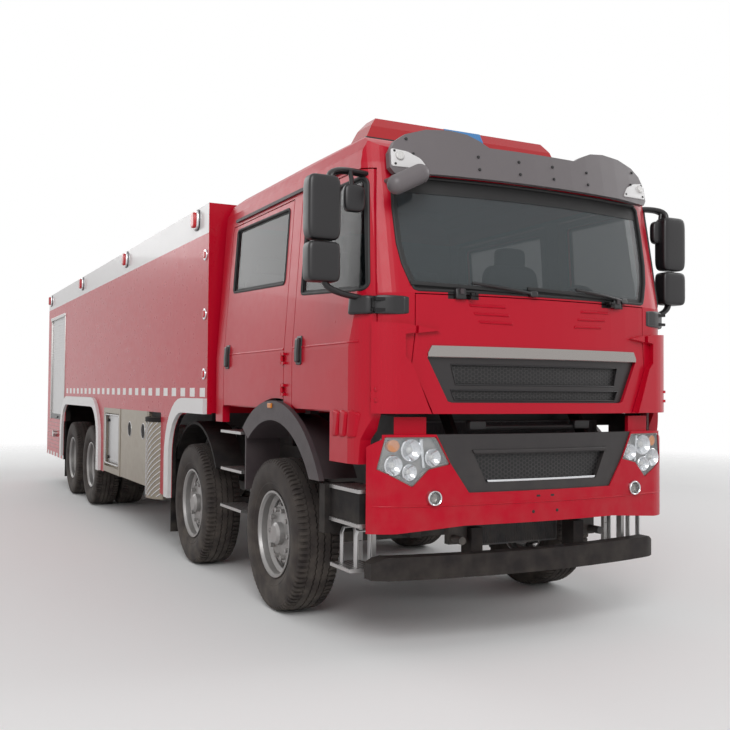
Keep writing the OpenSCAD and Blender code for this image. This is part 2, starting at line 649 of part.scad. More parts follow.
// Wheels, axis along local Z, +Z outboard
tyre_hw = tyre_w / 2;
tread_half = [[tyre_r, 0], [tyre_r, 8], [tyre_r - 14, 10], [tyre_r - 14, 18], [tyre_r, 20],
    [tyre_r - 1, 62], [tyre_r - 14, 64], [tyre_r - 14, 74], [tyre_r - 2, 76], [tyre_r - 6, 122],
    [tyre_r - 16, 138]];
side_half = concat(arc(405, tyre_hw - 110, 110, 25, 90, 4), arc(405, tyre_hw - 90, 90, 90, 160, 4),
    [[300, 117.5], [286.3, 117.5]]);
tyre_half = concat(tread_half, [for (p = side_half) p]);
module tyre_plain() rotate_extrude($fn = 96)
    polygon(concat(tyre_half, [for (k = [len(tyre_half) - 1:-1:1]) [tyre_half[k][0], -tyre_half[k][1]]]));
// rim barrel: radius and place across the wheel
barrel = [[flange_r, 132], [flange_r, 124], [286, 118], [286, 62], [264, 42], [264, -42], [286, -62],
    [286, -118], [flange_r, -124], [flange_r, -132], [284, -132], [274, -112], [274, -68], [252, -46],
    [252, 46], [274, 68], [274, 112], [284, 132]];
module barrel_plain() rotate_extrude($fn = 96) polygon(barrel);
module stud_ring(z0, z1) for (k = [0:studs - 1]) rotate([0, 0, 360 * k / studs])
    translate([167.5, 0, z0]) cylinder(r = 17, h = z1 - z0, $fn = 6);
module hand_holes(r, z0, z1) for (k = [0:studs - 1]) rotate([0, 0, 360 * (k + 0.5) / studs])
    translate([215, 0, z0]) cylinder(r = r, h = z1 - z0);
module front_rim_plain() {
    difference() {
        union() {
            barrel_plain();
            rotate_extrude() polygon([[0, 30], [0, 128], [60, 128], [78, 110], [80, 74], [135, 66],
                [200, 66], [262, 20], [262, -4], [252, -4], [196, 44], [120, 44], [120, 30]]);
            rotate_extrude() polygon([[100, -10], [100, 40], [185, 40], [185, -140], [212, -140],
                [212, 50], [90, 50], [90, -10]]);
            stud_ring(60, 98);
        }
        translate([0, 0, -60]) cylinder(r = stub_r + run_gap, h = 135);
        hand_holes(27, 0, 100);
    }
    rotate_extrude() polygon([[stub_r + run_gap, -10], [stub_r + run_gap, 40], [95, 40], [95, -10]]);
}
module twin_rim_plain() difference() {
    union() {
        barrel_plain();
        translate([0, 0, -twin_pitch]) barrel_plain();
        rotate_extrude() polygon([[258, -22], [258, -44], [216, -174], [120, -174],
            [120, -158], [206, -158], [246, -22]]);
        rotate_extrude() polygon([[258, -twin_pitch + 22], [258, -twin_pitch + 44],
            [216, -172], [120, -172], [120, -187], [206, -187], [246, -twin_pitch + 22]]);
        rotate_extrude() polygon([[0, -98], [0, -30], [70, -30], [88, -44], [95, -60], [128, -150],
            [128, -180], [212, -180], [212, -430], [185, -430], [185, -205],
            [tube_r + run_gap, -205], [tube_r + run_gap, -98]]);
        stud_ring(-160, -120);
    }
    hand_holes(27, -230, -100);
}
module front_spot(x, left) translate([ax1 + x, left ? front_half_track : -front_half_track, tyre_r])
    rotate([left ? -90 : 90, 0, 0]) children();
module rear_spot(x, left) translate([ax1 + x, left ? rear_half_track : -rear_half_track, tyre_r])
    rotate([left ? -90 : 90, 0, 0]) children();
module twin_tyre_plain() { tyre_plain(); translate([0, 0, -twin_pitch]) tyre_plain(); }
module tyre_1r() color([0.07, 0.065, 0.06]) front_spot(0, false) tyre_plain();
module tyre_1l() color([0.07, 0.065, 0.06]) front_spot(0, true) tyre_plain();
module tyre_2r() color([0.07, 0.065, 0.06]) front_spot(ax2, false) tyre_plain();
module tyre_2l() color([0.07, 0.065, 0.06]) front_spot(ax2, true) tyre_plain();
module rim_1r() color([0.6, 0.6, 0.6]) front_spot(0, false) front_rim_plain();
module rim_1l() color([0.6, 0.6, 0.6]) front_spot(0, true) front_rim_plain();
module rim_2r() color([0.6, 0.6, 0.6]) front_spot(ax2, false) front_rim_plain();
module rim_2l() color([0.6, 0.6, 0.6]) front_spot(ax2, true) front_rim_plain();
module tyres_3r() color([0.07, 0.065, 0.06]) rear_spot(ax3, false) twin_tyre_plain();
module tyres_3l() color([0.07, 0.065, 0.06]) rear_spot(ax3, true) twin_tyre_plain();
module tyres_4r() color([0.07, 0.065, 0.06]) rear_spot(ax4, false) twin_tyre_plain();
module tyres_4l() color([0.07, 0.065, 0.06]) rear_spot(ax4, true) twin_tyre_plain();
module rims_3r() color([0.6, 0.6, 0.6]) rear_spot(ax3, false) twin_rim_plain();
module rims_3l() color([0.6, 0.6, 0.6]) rear_spot(ax3, true) twin_rim_plain();
module rims_4r() color([0.6, 0.6, 0.6]) rear_spot(ax4, false) twin_rim_plain();
module rims_4l() color([0.6, 0.6, 0.6]) rear_spot(ax4, true) twin_rim_plain();

// Body
// arch openings in side view; the skirts end on them
front_arch = concat([[ax2 + 650, 400], [ax2 + 650, 1320]], arc(ax2 - 110, 900, 420, 90, 180, 8),
    [[ax2 - 530, 400]]);
rear_arch = concat([[ax3 + 680, 400], [ax3 + 680, 760]], arc(ax3 + 280, 900, 400, 0, 90, 8),
    arc(ax4 - 230, 900, 400, 90, 180, 8), [[ax4 - 630, 400]]);
front_trim = concat([[-body_front, 1320]], arc(ax2 - 110, 900, 420, 90, 180, 8), [[ax2 - 530, skirt_z],
    [ax2 - 680, skirt_z]], arc(ax2 - 110, 880, 570, 180, 90, 8), [[-body_front, 1450]]);
rear_trim = concat([[ax3 + 680, skirt_z], [ax3 + 680, 760]], arc(ax3 + 280, 900, 400, 0, 90, 8),
    arc(ax4 - 230, 900, 400, 90, 180, 8), [[ax4 - 630, skirt_z], [ax4 - 777, skirt_z]],
    arc(ax4 - 230, 873, 547, 180, 90, 8), arc(ax3 + 280, 870, 550, 90, 0, 8), [[ax3 + 830, skirt_z]]);
// side covers along the skirt: recess, stainless cover, tread guard
recess_x = [ax3 + 1009, ax2 - 2717];
cover_x = [ax2 - 2660, ax2 - 1452];
guard_x = [ax2 - 1407, ax2 - 933];
shutter_x = [375 - body_rear, -module_x - 131];
shutter_z = [1050, board_z - 205];

module tank_body() color([0.75, 0.05, 0.08]) translate([ax1, 0, 0]) {
    block(-module_x, -body_front, -body_half_w, body_half_w, tank_low_z, board_z - 20);
    both() difference() {
        block(-module_x, -body_front, -body_half_w, -body_half_w + skirt_t, skirt_z, tank_low_z);
        side_prism(panel_y - 100, panel_y + 130) { polygon(front_arch); polygon(rear_arch); }
        block(recess_x[0], guard_x[1], panel_y - 100, panel_y + 130, 400, 1300);
    }
    block(-body_front - 60, -body_front, -body_half_w + board_t, body_half_w - board_t,
        board_z - 20, top_z);
    both() block(-body_front - 8, -body_front, -body_half_w, -body_half_w + board_t,
        board_z - 20, top_z);
}
module pump_module() color([0.75, 0.05, 0.08]) translate([ax1, 0, 0]) difference() {
    union() {
        block(-body_rear, -module_x - 4, -body_half_w, body_half_w, rail_z1, board_z - 20);
        both() difference() {
            block(-body_rear, -module_x - 4, -body_half_w, -body_half_w + skirt_t, skirt_z - 60,
                rail_z1);
            side_prism(panel_y - 100, panel_y + 130) polygon(rear_arch);
        }
        block(-body_rear, -body_rear + 40, -body_half_w + skirt_t, body_half_w - skirt_t, 770,
            rail_z1);
    }
    block(ax4 - 800, ax3, panel_y + 80, -panel_y - 80, 400, tank_low_z);
    both() block(shutter_x[0], shutter_x[1], panel_y - 70, panel_y + 45, shutter_z[0], shutter_z[1]);
    block(-body_rear - 50, -body_rear + 45, -600, 600, shutter_z[0], shutter_z[1]);
}
module white_panels() color([0.92, 0.92, 0.92]) translate([ax1, 0, 0]) both() {
    block(-body_rear, -body_front - 8, -body_half_w, -body_half_w + board_t, board_z - 20, top_z);
    side_prism(-body_half_w - arch_t, -body_half_w) { polygon(front_trim); polygon(rear_trim); }
}
module roof_deck() color([0.6, 0.61, 0.62]) translate([ax1, 0, 0]) {
    block(-body_rear, -body_front - 60, -body_half_w + board_t, body_half_w - board_t,
        board_z - 20, board_z);
    block(-body_rear, -body_rear + 40, -body_half_w + board_t, body_half_w - board_t, board_z, top_z);
    for (x = [-3300, -5600]) bar_z(x, 0, 300, board_z, board_z + 110);
    difference() {
        bar_z(-9000, 0, 170, board_z, 3130);
        bar_z(-9000, 0, 60 + run_gap, 3040, 3200);
    }
}
slats = 40;
slat_h = (shutter_z[1] - shutter_z[0] - 8) / slats;
module shutters() color([0.72, 0.73, 0.74]) translate([ax1, 0, 0]) {
    both() difference() {
        block(shutter_x[0], shutter_x[1], panel_y + 12, panel_y + 45, shutter_z[0] + 4, shutter_z[1] - 4);
        for (k = [1:slats - 1]) block(shutter_x[0] - 15, shutter_x[1] + 40, panel_y, panel_y + 16,
            shutter_z[0] + k * slat_h, shutter_z[0] + 8 + k * slat_h);
    }
    difference() {
        block(-body_rear + 12, -body_rear + 45, -600, 600, shutter_z[0] + 4, shutter_z[1] - 4);
        for (k = [1:slats - 1]) block(-body_rear, -body_rear + 16, -700, 700,
            shutter_z[0] + k * slat_h, shutter_z[0] + 8 + k * slat_h);
    }
}
// stainless covers, framed recess and bulged tread guard in the skirts
module side_covers() color([0.66, 0.67, 0.68]) translate([ax1, 0, 0]) both() {
    difference() {
        block(recess_x[0], recess_x[1], panel_y - 6, panel_y + 60, 530, 1300);
        block(recess_x[0] + 71, recess_x[1] - 73, panel_y - 20, panel_y + 40, 600, 1240);
    }
    difference() {
        block(cover_x[0], cover_x[1], panel_y - 4, panel_y + 20, 535, 1300);
        for (x = [cover_x[0] + 420, cover_x[0] + 1030]) bar_y(x, 1090, 45, panel_y - 70, panel_y + 30);
    }
    intersection() {
        block(guard_x[0], guard_x[1], panel_y - 80, panel_y + 65, 455, 1247);
        bar_z((guard_x[0] + guard_x[1]) / 2, panel_y + 258, 330, 400, 1300);
    }
    block(recess_x[1], cover_x[0], panel_y, panel_y + 30, 530, 1300);
    block(cover_x[1], guard_x[0], panel_y, panel_y + 30, 530, 1300);
}
// strobes along the boards: x; side lamps at the front edge: z
strobe_x = [for (share = [0, 0.329, 0.658, 1]) -body_front - 338 - share * (body_rear - body_front - 600)];
edge_lamp_z = [2660, 2160, 1655];
module marker_lamps() color([0.8, 0.2, 0.1]) translate([ax1, 0, 0]) both() {
    for (x = strobe_x) block(x - 75, x + 75, -body_half_w - 45, -body_half_w, top_z - 190, top_z - 5);
    for (z = edge_lamp_z) bar_y(-body_front - 87, z, 42, -body_half_w - 18, -body_half_w);
    for (z = [1120, 1240]) bar_x(panel_y + 150, z, 55, -body_rear - 30, -body_rear);
    block(-body_rear - 30, -body_rear, panel_y + 40, panel_y + 260, 760, 900);
}
// places of the ladder's stiles across the rear wall
ladder_y = [body_half_w - 580, body_half_w - 300];
module rear_fittings() color([0.66, 0.67, 0.68]) translate([ax1, 0, 0]) {
    // ladder: stiles and rungs
    for (y = ladder_y) bar_z(-body_rear - 40, y, 18, 640, 3050);
    for (z = [760:290:2800]) bar_y(-body_rear - 40, z, 14, ladder_y[0], ladder_y[1]);
    for (y = ladder_y) for (z = [1000, 1900, 2800]) bar_x(y, z, 10, -body_rear - 40, -body_rear);
    // rear bumper
    block(-body_rear - 60, -body_rear, panel_y + 50, -panel_y - 50, 560, 690);
    both() block(-body_rear - 30, 250 - body_rear, -rail_y - 35, -rail_y + 35, 600, rail_z0);
    // hose outlets below the side shutters and suction inlet at the rear
    both() bar_y(1000 - body_rear, 820, 50, -body_half_w - 60, -body_half_w);
    bar_x(0, 880, 75, -body_rear - 58, -body_rear);
}
// roof monitor: swivel with a spigot, barrel on trunnion pins
module monitor_swivel() color([0.75, 0.05, 0.08]) translate([ax1 - 9000, 0, 0]) difference() {
    union() {
        bar_z(0, 0, 60, 3050, 3140);
        bar_z(0, 0, 110, 3136, 3230);
        bar_z(0, 0, 140, 3220, 3245);
        both() block(-70, 70, -130, -95, 3240, 3430);
    }
    bar_y(0, 3380, 20 + run_gap, -200, 200);
}
module monitor_barrel() color([0.75, 0.05, 0.08]) translate([ax1 - 9000, 0, 0]) {
    bar_y(0, 3380, 20, -130, 130);
    bar_y(0, 3380, 40, -88, 88);
    bar_x(0, 3380, 62, -75, 505);
    translate([500, 0, 3380]) rotate([0, 90, 0]) rotate_extrude()
        polygon([[40, 0], [62, 0], [52, 560], [70, 700], [58, 700], [40, 560]]);
}

cab_shell();
cab_roof();
cab_glass();
cab_trim();
sun_visor();
light_bar();
cab_interior();
door_fr();
door_fl();
door_rr();
door_rl();
glass_fr();
glass_fl();
glass_rr();
glass_rl();
mirror_r();
mirror_l();
front_flap();
grille();
bumper();
low_grille();
headlamps();
underrun_bar();
entry_steps();
mudguards();
frame();
axles();
driveline();
side_tanks();
tank_body();
pump_module();
white_panels();
roof_deck();
shutters();
side_covers();
marker_lamps();
rear_fittings();
monitor_swivel();
monitor_barrel();
knuckle_1r();
knuckle_1l();
knuckle_2r();
knuckle_2l();
tyre_1r();
tyre_1l();
tyre_2r();
tyre_2l();
rim_1r();
rim_1l();
rim_2r();
rim_2l();
tyres_3r();
tyres_3l();
tyres_4r();
tyres_4l();
rims_3r();
rims_3l();
rims_4r();
rims_4l();
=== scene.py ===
"""Looks of a foam fire truck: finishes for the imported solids, and the trim that the solids leave out.

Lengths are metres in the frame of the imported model: +X forward, +Y the truck's left, +Z up.
"""

from __future__ import annotations

import logging
import math
from dataclasses import dataclass, field, replace
from enum import Enum
from typing import Any, Callable, Sequence

import bmesh
import bpy
import numpy as np
from mathutils import Matrix

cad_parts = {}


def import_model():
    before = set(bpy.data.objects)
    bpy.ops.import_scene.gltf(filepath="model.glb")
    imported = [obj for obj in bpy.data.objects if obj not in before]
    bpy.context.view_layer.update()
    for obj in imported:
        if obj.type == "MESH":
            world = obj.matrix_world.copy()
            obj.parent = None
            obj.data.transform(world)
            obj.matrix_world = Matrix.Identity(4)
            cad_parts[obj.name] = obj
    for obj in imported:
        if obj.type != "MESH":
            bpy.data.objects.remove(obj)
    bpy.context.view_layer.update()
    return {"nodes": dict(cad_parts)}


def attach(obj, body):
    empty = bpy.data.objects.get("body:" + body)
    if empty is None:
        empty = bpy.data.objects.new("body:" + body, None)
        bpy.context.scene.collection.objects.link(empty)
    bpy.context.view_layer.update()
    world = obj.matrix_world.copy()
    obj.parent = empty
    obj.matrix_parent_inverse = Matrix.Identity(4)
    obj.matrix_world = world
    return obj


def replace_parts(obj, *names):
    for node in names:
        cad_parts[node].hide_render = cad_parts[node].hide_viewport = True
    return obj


LOG = logging.getLogger("fire_truck")
Array = np.ndarray
Place = Callable[[Array], Array]
Outline = tuple[tuple[float, float], ...]
Spots = tuple[tuple[float, float, float], ...]

TURN = 2.0 * math.pi
SIN_60 = 0.866
AXLE_1 = 4.430  # where the first axle lies along X; most places are given from there

# Wear on every finish: noise in cells a metre, spans in metres of height or in parts of the noise
CLOUD_SCALE, SPATTER_SCALE, GLOSS_SCALE = 2.5, 9.0, 14.0
DUST_SPAN, SPATTER_SPAN = (0.15, 1.3), (0.35, 0.75)
DUST_COLOUR = "8c8378"
DUST_ROUGHNESS, GLOSS_SPREAD, COAT_ROUGHNESS = 0.3, 0.16, 0.04


class Side(Enum):
    """The two sides of the truck, as the sign of Y."""

    RIGHT = -1.0
    LEFT = 1.0

    @property
    def tag(self) -> str:
        """The letter that ends a node's name."""
        return "r" if self is Side.RIGHT else "l"

    @property
    def word(self) -> str:
        """The word that ends a body's name."""
        return self.name.lower()


# Shader expressions


class Sock:
    """A shader output that takes part in Python expressions: each operator adds one Math node."""

    def __init__(self, shader: Shader, socket: bpy.types.NodeSocket) -> None:
        """Keeps the shader and the output socket."""
        self.shader = shader
        self.socket = socket

    def calc(self, operation: str, *values: Any) -> Sock:
        """Adds a Math node.

        Args:
            operation: The Math node's operation.
            values: Its operands, numbers or sockets.

        Returns:
            The node's result.
        """
        return self.shader.node("ShaderNodeMath", {"operation": operation}, dict(enumerate(values)))

    def __add__(self, other: Any) -> Sock:
        """self + other."""
        return self.calc("ADD", self, other)

    __radd__ = __add__

    def __sub__(self, other: Any) -> Sock:
        """self - other."""
        return self.calc("SUBTRACT", self, other)

    def __rsub__(self, other: Any) -> Sock:
        """other - self."""
        return self.calc("SUBTRACT", other, self)

    def __mul__(self, other: Any) -> Sock:
        """self * other."""
        return self.calc("MULTIPLY", self, other)

    __rmul__ = __mul__

    def __truediv__(self, other: Any) -> Sock:
        """self / other."""
        return self.calc("DIVIDE", self, other)

    def __gt__(self, other: Any) -> Sock:
        """1 where self is above other, else 0."""
        return self.calc("GREATER_THAN", self, other)

    def __lt__(self, other: Any) -> Sock:
        """1 where self is below other, else 0."""
        return self.calc("LESS_THAN", self, other)

    def __mod__(self, other: Any) -> Sock:
        """self wrapped into 0 to other."""
        return self.calc("FLOORED_MODULO", self, other)

    def __abs__(self) -> Sock:
        """The size of self without its sign."""
        return self.calc("ABSOLUTE", self)

    def cos(self) -> Sock:
        """The cosine of self in radians."""
        return self.calc("COSINE", self)

    def floor(self) -> Sock:
        """The whole number below self."""
        return self.calc("FLOOR", self)

    def root(self) -> Sock:
        """The square root of self."""
        return self.calc("SQRT", self)

    def limit(self) -> Sock:
        """self held between 0 and 1."""
        return self.calc("MINIMUM", self.calc("MAXIMUM", self, 0.0), 1.0)


def linear(colour: str) -> tuple[float, float, float, float]:
    """Turns an sRGB hex colour into linear light.

    Args:
        colour: Six hex digits.

    Returns:
        Red, green, blue and alpha 1.
    """
    c = np.array([int(colour[k : k + 2], 16) for k in (0, 2, 4)]) / 255.0
    lin = np.where(c <= 0.04045, c / 12.92, ((c + 0.055) / 1.055) ** 2.4)
    return (float(lin[0]), float(lin[1]), float(lin[2]), 1.0)


class Shader:
    """One material's node tree under construction."""

    def __init__(self, name: str) -> None:
        """Makes a material with one Principled shader.

        Args:
            name: The material's name.
        """
        self.material = bpy.data.materials.new(name)
        self.material.use_nodes = True
        self.tree = self.material.node_tree
        self.tree.nodes.clear()
        self.output = self.tree.nodes.new("ShaderNodeOutputMaterial")
        self.surface = self.tree.nodes.new("ShaderNodeBsdfPrincipled")
        self.tree.links.new(self.surface.outputs[0], self.output.inputs[0])
        self._place: list[Sock] = []

    def put(self, socket: bpy.types.NodeSocket, value: Any) -> None:
        """Links or sets one input socket.

        Args:
            socket: The input.
            value: Another node's output, or a constant.
        """
        if isinstance(value, Sock):
            self.tree.links.new(value.socket, socket)
        else:
            socket.default_value = value

    def node(
        self,
        kind: str,
        settings: dict[str, Any] | None = None,
        inputs: dict[Any, Any] | None = None,
        out: Any = 0,
    ) -> Sock:
        """Adds any node.

        Args:
            kind: The node's type.
            settings: Properties, set before the sockets.
            inputs: Socket name or number to a value or another output.
            out: The output that is wanted.

        Returns:
            That output.
        """
        made = self.tree.nodes.new(kind)
        for key, value in (settings or {}).items():
            setattr(made, key, value)
        for key, value in (inputs or {}).items():
            self.put(made.inputs[key], value)
        return Sock(self, made.outputs[out])

    def set(self, **values: Any) -> None:
        """Sets or links inputs of the Principled shader, with _ for a space in their names."""
        for key, value in values.items():
            self.put(self.surface.inputs[key.replace("_", " ")], value)

    def point(self) -> Sock:
        """The point in Object coordinates, which is the truck's own frame."""
        return self.node("ShaderNodeTexCoord", out="Object")

    def axes(self) -> list[Sock]:
        """Splits the point, once for each material.

        Returns:
            Its x, y and z.
        """
        if not self._place:
            split = self.node("ShaderNodeSeparateXYZ", {}, {0: self.point()})
            self._place = [Sock(self, o) for o in split.socket.node.outputs]
        return self._place

    def noise(self, scale: float, detail: float = 3.0, stretch: Sequence[float] = (1.0, 1.0, 1.0)) -> Sock:
        """Noise between 0 and 1.

        Args:
            scale: Cells a metre.
            detail: Octaves.
            stretch: How dense the cells are along x, y and z.

        Returns:
            The noise.
        """
        at = self.node("ShaderNodeMapping", {}, {0: self.point(), "Scale": tuple(stretch)})
        return self.node("ShaderNodeTexNoise", {}, {"Vector": at, "Scale": scale, "Detail": detail})

    def mix(self, factor: Any, first: Any, second: Any) -> Sock:
        """A colour that goes from first to second by factor."""
        return self.node("ShaderNodeMix", {"data_type": "RGBA"}, {0: factor, 6: first, 7: second}, 2)

    def band(self, value: Sock, low: float, high: float) -> Sock:
        """1 where value lies between low and high, else 0."""
        return (value > low) * (value < high)

    def ramp(self, value: Sock, low: float, high: float) -> Sock:
        """value carried to 0 at low and 1 at high, held there outside."""
        return ((value - low) / (high - low)).limit()

    def bump(self, height: Sock, depth: float) -> Sock:
        """A normal from a height between 0 and 1 that stands for depth metres."""
        return self.node("ShaderNodeBump", {}, {"Height": height, "Distance": depth, "Strength": 1.0})


# Finishes

_MADE: dict[str, bpy.types.Material] = {}


@dataclass(frozen=True)
class Finish:
    """A finish with fine grain, uneven gloss and some road dust low down."""

    name: str
    colour: str
    roughness: float = 0.5
    metallic: float = 0.0
    coat: float = 0.0
    specular: float = 0.5
    grain: float = 0.0002
    grain_scale: float = 300.0
    mottle: float = 0.12
    dust: float = 0.25

    def tint(self, s: Shader, base: Sock) -> Sock:
        """Changes the base colour: a plain finish leaves it."""
        return base

    def height(self, s: Shader) -> Sock:
        """The surface's height between 0 and 1: fine noise."""
        return s.noise(self.grain_scale)

    def extras(self, s: Shader) -> None:
        """Sets what only one kind of finish has."""

    def material(self) -> bpy.types.Material:
        """Makes the material once.

        Returns:
            The material.
        """
        if self.name not in _MADE:
            s = Shader(self.name)
            base = linear(self.colour)
            dark = tuple(c * (1.0 - self.mottle) for c in base[:3]) + (1.0,)
            colour = self.tint(s, s.mix(s.noise(CLOUD_SCALE, 4.0), dark, base))
            spatter = s.ramp(s.noise(SPATTER_SCALE, 5.0), *SPATTER_SPAN)
            low = (1.0 - s.ramp(s.axes()[2], *DUST_SPAN)) * spatter * self.dust
            colour = s.mix(low, colour, linear(DUST_COLOUR))
            gloss = s.noise(GLOSS_SCALE) * GLOSS_SPREAD + (self.roughness - GLOSS_SPREAD / 2)
            s.set(Base_Color=colour, Roughness=gloss + low * DUST_ROUGHNESS, Metallic=self.metallic)
            s.set(Coat_Weight=self.coat, Coat_Roughness=COAT_ROUGHNESS, Specular_IOR_Level=self.specular)
            if self.grain > 0.0:
                s.set(Normal=s.bump(self.height(s), self.grain))
            self.extras(s)
            _MADE[self.name] = s.material
        return _MADE[self.name]

    def dress(self, obj: bpy.types.Object) -> None:
        """Gives one object this finish alone."""
        obj.data.materials.clear()
        obj.data.materials.append(self.material())


@dataclass(frozen=True)
class CheckedPaint(Finish):
    """Body paint with a row of red and white checks along the side, painted shade under the body and in the
    arches, and lines of painted shade at the ribs where a pitch is given.
    """

    strip_z: float = 1.501
    check_length: float = 0.148
    check_height: float = 0.076
    check_colour: str = "e9e6e4"
    side_y: float = 1.225
    arch_z: float = 1.30
    # near black, painted shade for the faces under the body and in the wheel arches
    arch_shade_colour: str = "1d1b1c"
    rib_pitch: float = 0.0
    rib_width: float = 0.14
    rib_span: tuple[float, float] = (0.56, 1.02)
    # a darker copy of the body red: painted shade at the ribs
    rib_shade_colour: str = "6e0613"
    rear_x: float = AXLE_1 - 10.28

    def tint(self, s: Shader, base: Sock) -> Sock:
        """Adds painted shade under the body and in the arches, the lines of painted shade at the ribs, and
        the checks.

        A check is white in the second half of each pair of checks along x, within the strip's height.
        A line of painted shade at each rib is the first part of each pitch up z.

        Args:
            s: The shader.
            base: The paint's colour.

        Returns:
            The colour with all three.
        """
        x, y, z = s.axes()
        outer = abs(y) > self.side_y
        # painted shade: faces that look inwards below the arch height, under the body and in the wheel
        # arches, are made near black where they lie in shade
        under = (abs(y) < self.side_y) * (z < self.arch_z) * (x > self.rear_x)
        base = s.mix(under, base, linear(self.arch_shade_colour))
        if self.rib_pitch > 0.0:
            # painted shade: a thin line of darker body red at each rib, where the rib's shade falls
            line = ((z / self.rib_pitch) % 1.0 < self.rib_width) * s.band(z, *self.rib_span)
            base = s.mix(line * outer, base, linear(self.rib_shade_colour))
        white = (x / (2.0 * self.check_length)) % 1.0 > 0.5
        strip = s.band(z, self.strip_z - self.check_height / 2, self.strip_z + self.check_height / 2)
        return s.mix(white * strip * outer, base, linear(self.check_colour))


@dataclass(frozen=True)
class CabPaint(Finish):
    """Cab paint, with black tilt arms under the floor, black hinges and grey lining inside."""

    black: str = "1c1a1b"
    lining: str = "4a4643"
    floor_z: float = 1.388
    arm_y: float = 0.60
    hinge_at: tuple[float, float] = (AXLE_1 + 1.350, 2.018)
    hinge_half: tuple[float, float] = (0.055, 0.052)
    hinge_y: float = 1.0
    lug_x: float = AXLE_1 + 1.40
    lug_span: tuple[float, float] = (0.47, 0.67)
    lug_z: tuple[float, float] = (2.064, 2.116)
    room_x: tuple[float, float] = (AXLE_1 - 1.29, AXLE_1 + 1.25)
    room_y: float = 1.140
    room_z: tuple[float, float] = (1.44, 2.93)
    side_lean: tuple[float, float] = (1.78, 2.88)
    side_shift: float = 0.075
    front_lean: tuple[float, float] = (2.10, 3.10)
    front_shift: float = 0.194

    def tint(self, s: Shader, base: Sock) -> Sock:
        """Adds black to the arms and hinges, and the lining inside.

        The room's sides shift inwards from the belt to the gutter, and its front shifts back above the cowl.

        Args:
            s: The shader.
            base: The paint's colour.

        Returns:
            The colour with both.
        """
        x, y, z = s.axes()
        arms = (z < self.floor_z) * (abs(y) < self.arm_y)
        near = [abs(a - at) < half for a, at, half in zip((x, z), self.hinge_at, self.hinge_half)]
        hinge = near[0] * near[1] * (abs(y) > self.hinge_y)
        lugs = (x > self.lug_x) * s.band(z, *self.lug_z) * s.band(abs(y), *self.lug_span)
        base = s.mix((arms + hinge + lugs).limit(), base, linear(self.black))
        sides = abs(y) + s.ramp(z, *self.side_lean) * self.side_shift < self.room_y
        front = x + s.ramp(z, *self.front_lean) * self.front_shift < self.room_x[1]
        inside = sides * front * (x > self.room_x[0]) * s.band(z, *self.room_z)
        return s.mix(inside, base, linear(self.lining))


@dataclass(frozen=True)
class Ground(Finish):
    """The studio floor, which fades into the white round it."""

    near: float = 8.0
    far: float = 17.0

    def extras(self, s: Shader) -> None:
        """Alpha falls from 1 to 0 between two distances from the truck's middle."""
        x, y, _ = s.axes()
        s.set(Alpha=1.0 - s.ramp((x * x + y * y).root(), self.near, self.far))


@dataclass(frozen=True)
class BandPaint(Finish):
    """One solid in two finishes: a second colour between two heights."""

    second: str = "c8c9cb"
    low: float = 0.0
    high: float = 1.0
    second_metallic: float = 1.0
    second_roughness: float = 0.24

    def tint(self, s: Shader, base: Sock) -> Sock:
        """The second colour fills the band between low and high."""
        return s.mix(s.band(s.axes()[2], self.low, self.high), base, linear(self.second))

    def extras(self, s: Shader) -> None:
        """Gives the band its own metal and gloss.

        Args:
            s: The shader.
        """
        inside = s.band(s.axes()[2], self.low, self.high)
        s.set(Metallic=inside * self.second_metallic)
        s.set(Roughness=self.roughness - inside * (self.roughness - self.second_roughness))


@dataclass(frozen=True)
class Brushed(Finish):
    """Brushed metal: noise drawn out along one way."""

    stretch: tuple[float, float, float] = (1.0, 60.0, 60.0)
    streaks: float = 12.0

    def height(self, s: Shader) -> Sock:
        """Streaks along the brush."""
        return s.noise(self.streaks, 4.0, self.stretch)


@dataclass(frozen=True)
class Treadplate(Finish):
    """Five-bar style tread: short raised bars, each cell turned a quarter from the next."""

    pitch: float = 0.034
    across: tuple[int, int] = (0, 1)
    bar_along: float = 6.0
    bar_across: float = 45.0
    bar_top: float = 1.3

    def height(self, s: Shader) -> Sock:
        """A bar is high where the squared distance in a turned, stretched cell is low.

        Args:
            s: The shader.

        Returns:
            The height.
        """
        a, b = (s.axes()[k] / self.pitch for k in self.across)
        p, q = a + b, a - b
        flip = ((p.floor() + q.floor()) % 2.0) > 0.5
        u, v = (p % 1.0) - 0.5, (q % 1.0) - 0.5
        long = u * flip + v * (1.0 - flip)
        short = v * flip + u * (1.0 - flip)
        far = (long * long) * self.bar_along + (short * short) * self.bar_across
        return (self.bar_top - far).limit()


@dataclass(frozen=True)
class Perforated(Finish):
    """Plate with rows of round holes, drawn as dark pits with a raised rim."""

    pitch: float = 0.032
    radius: float = 0.30
    across: tuple[int, int] = (0, 1)
    tops: tuple[float, ...] = (0.478, 0.600, 0.752, 0.900, 0.950, 1.200)
    top_margin: float = 0.002
    rim_slope: float = 8.0

    def on_top(self, s: Shader) -> Sock:
        """1 on the upper faces of the treads, else 0."""
        marks = [abs(s.axes()[2] - top) < self.top_margin for top in self.tops]
        return sum(marks[1:], marks[0])

    def far(self, s: Shader) -> Sock:
        """Squared distance to the nearest hole's centre, in pitches."""
        u, v = ((s.axes()[k] / self.pitch) % 1.0 - 0.5 for k in self.across)
        return u * u + v * v

    def tint(self, s: Shader, base: Sock) -> Sock:
        """Dark inside the holes of the upper faces."""
        return s.mix((self.far(s) < self.radius**2) * self.on_top(s), base, linear("141416"))

    def height(self, s: Shader) -> Sock:
        """Height falls towards each hole of the upper faces."""
        return 1.0 - (1.0 - (self.far(s) * self.rim_slope).limit()) * self.on_top(s)


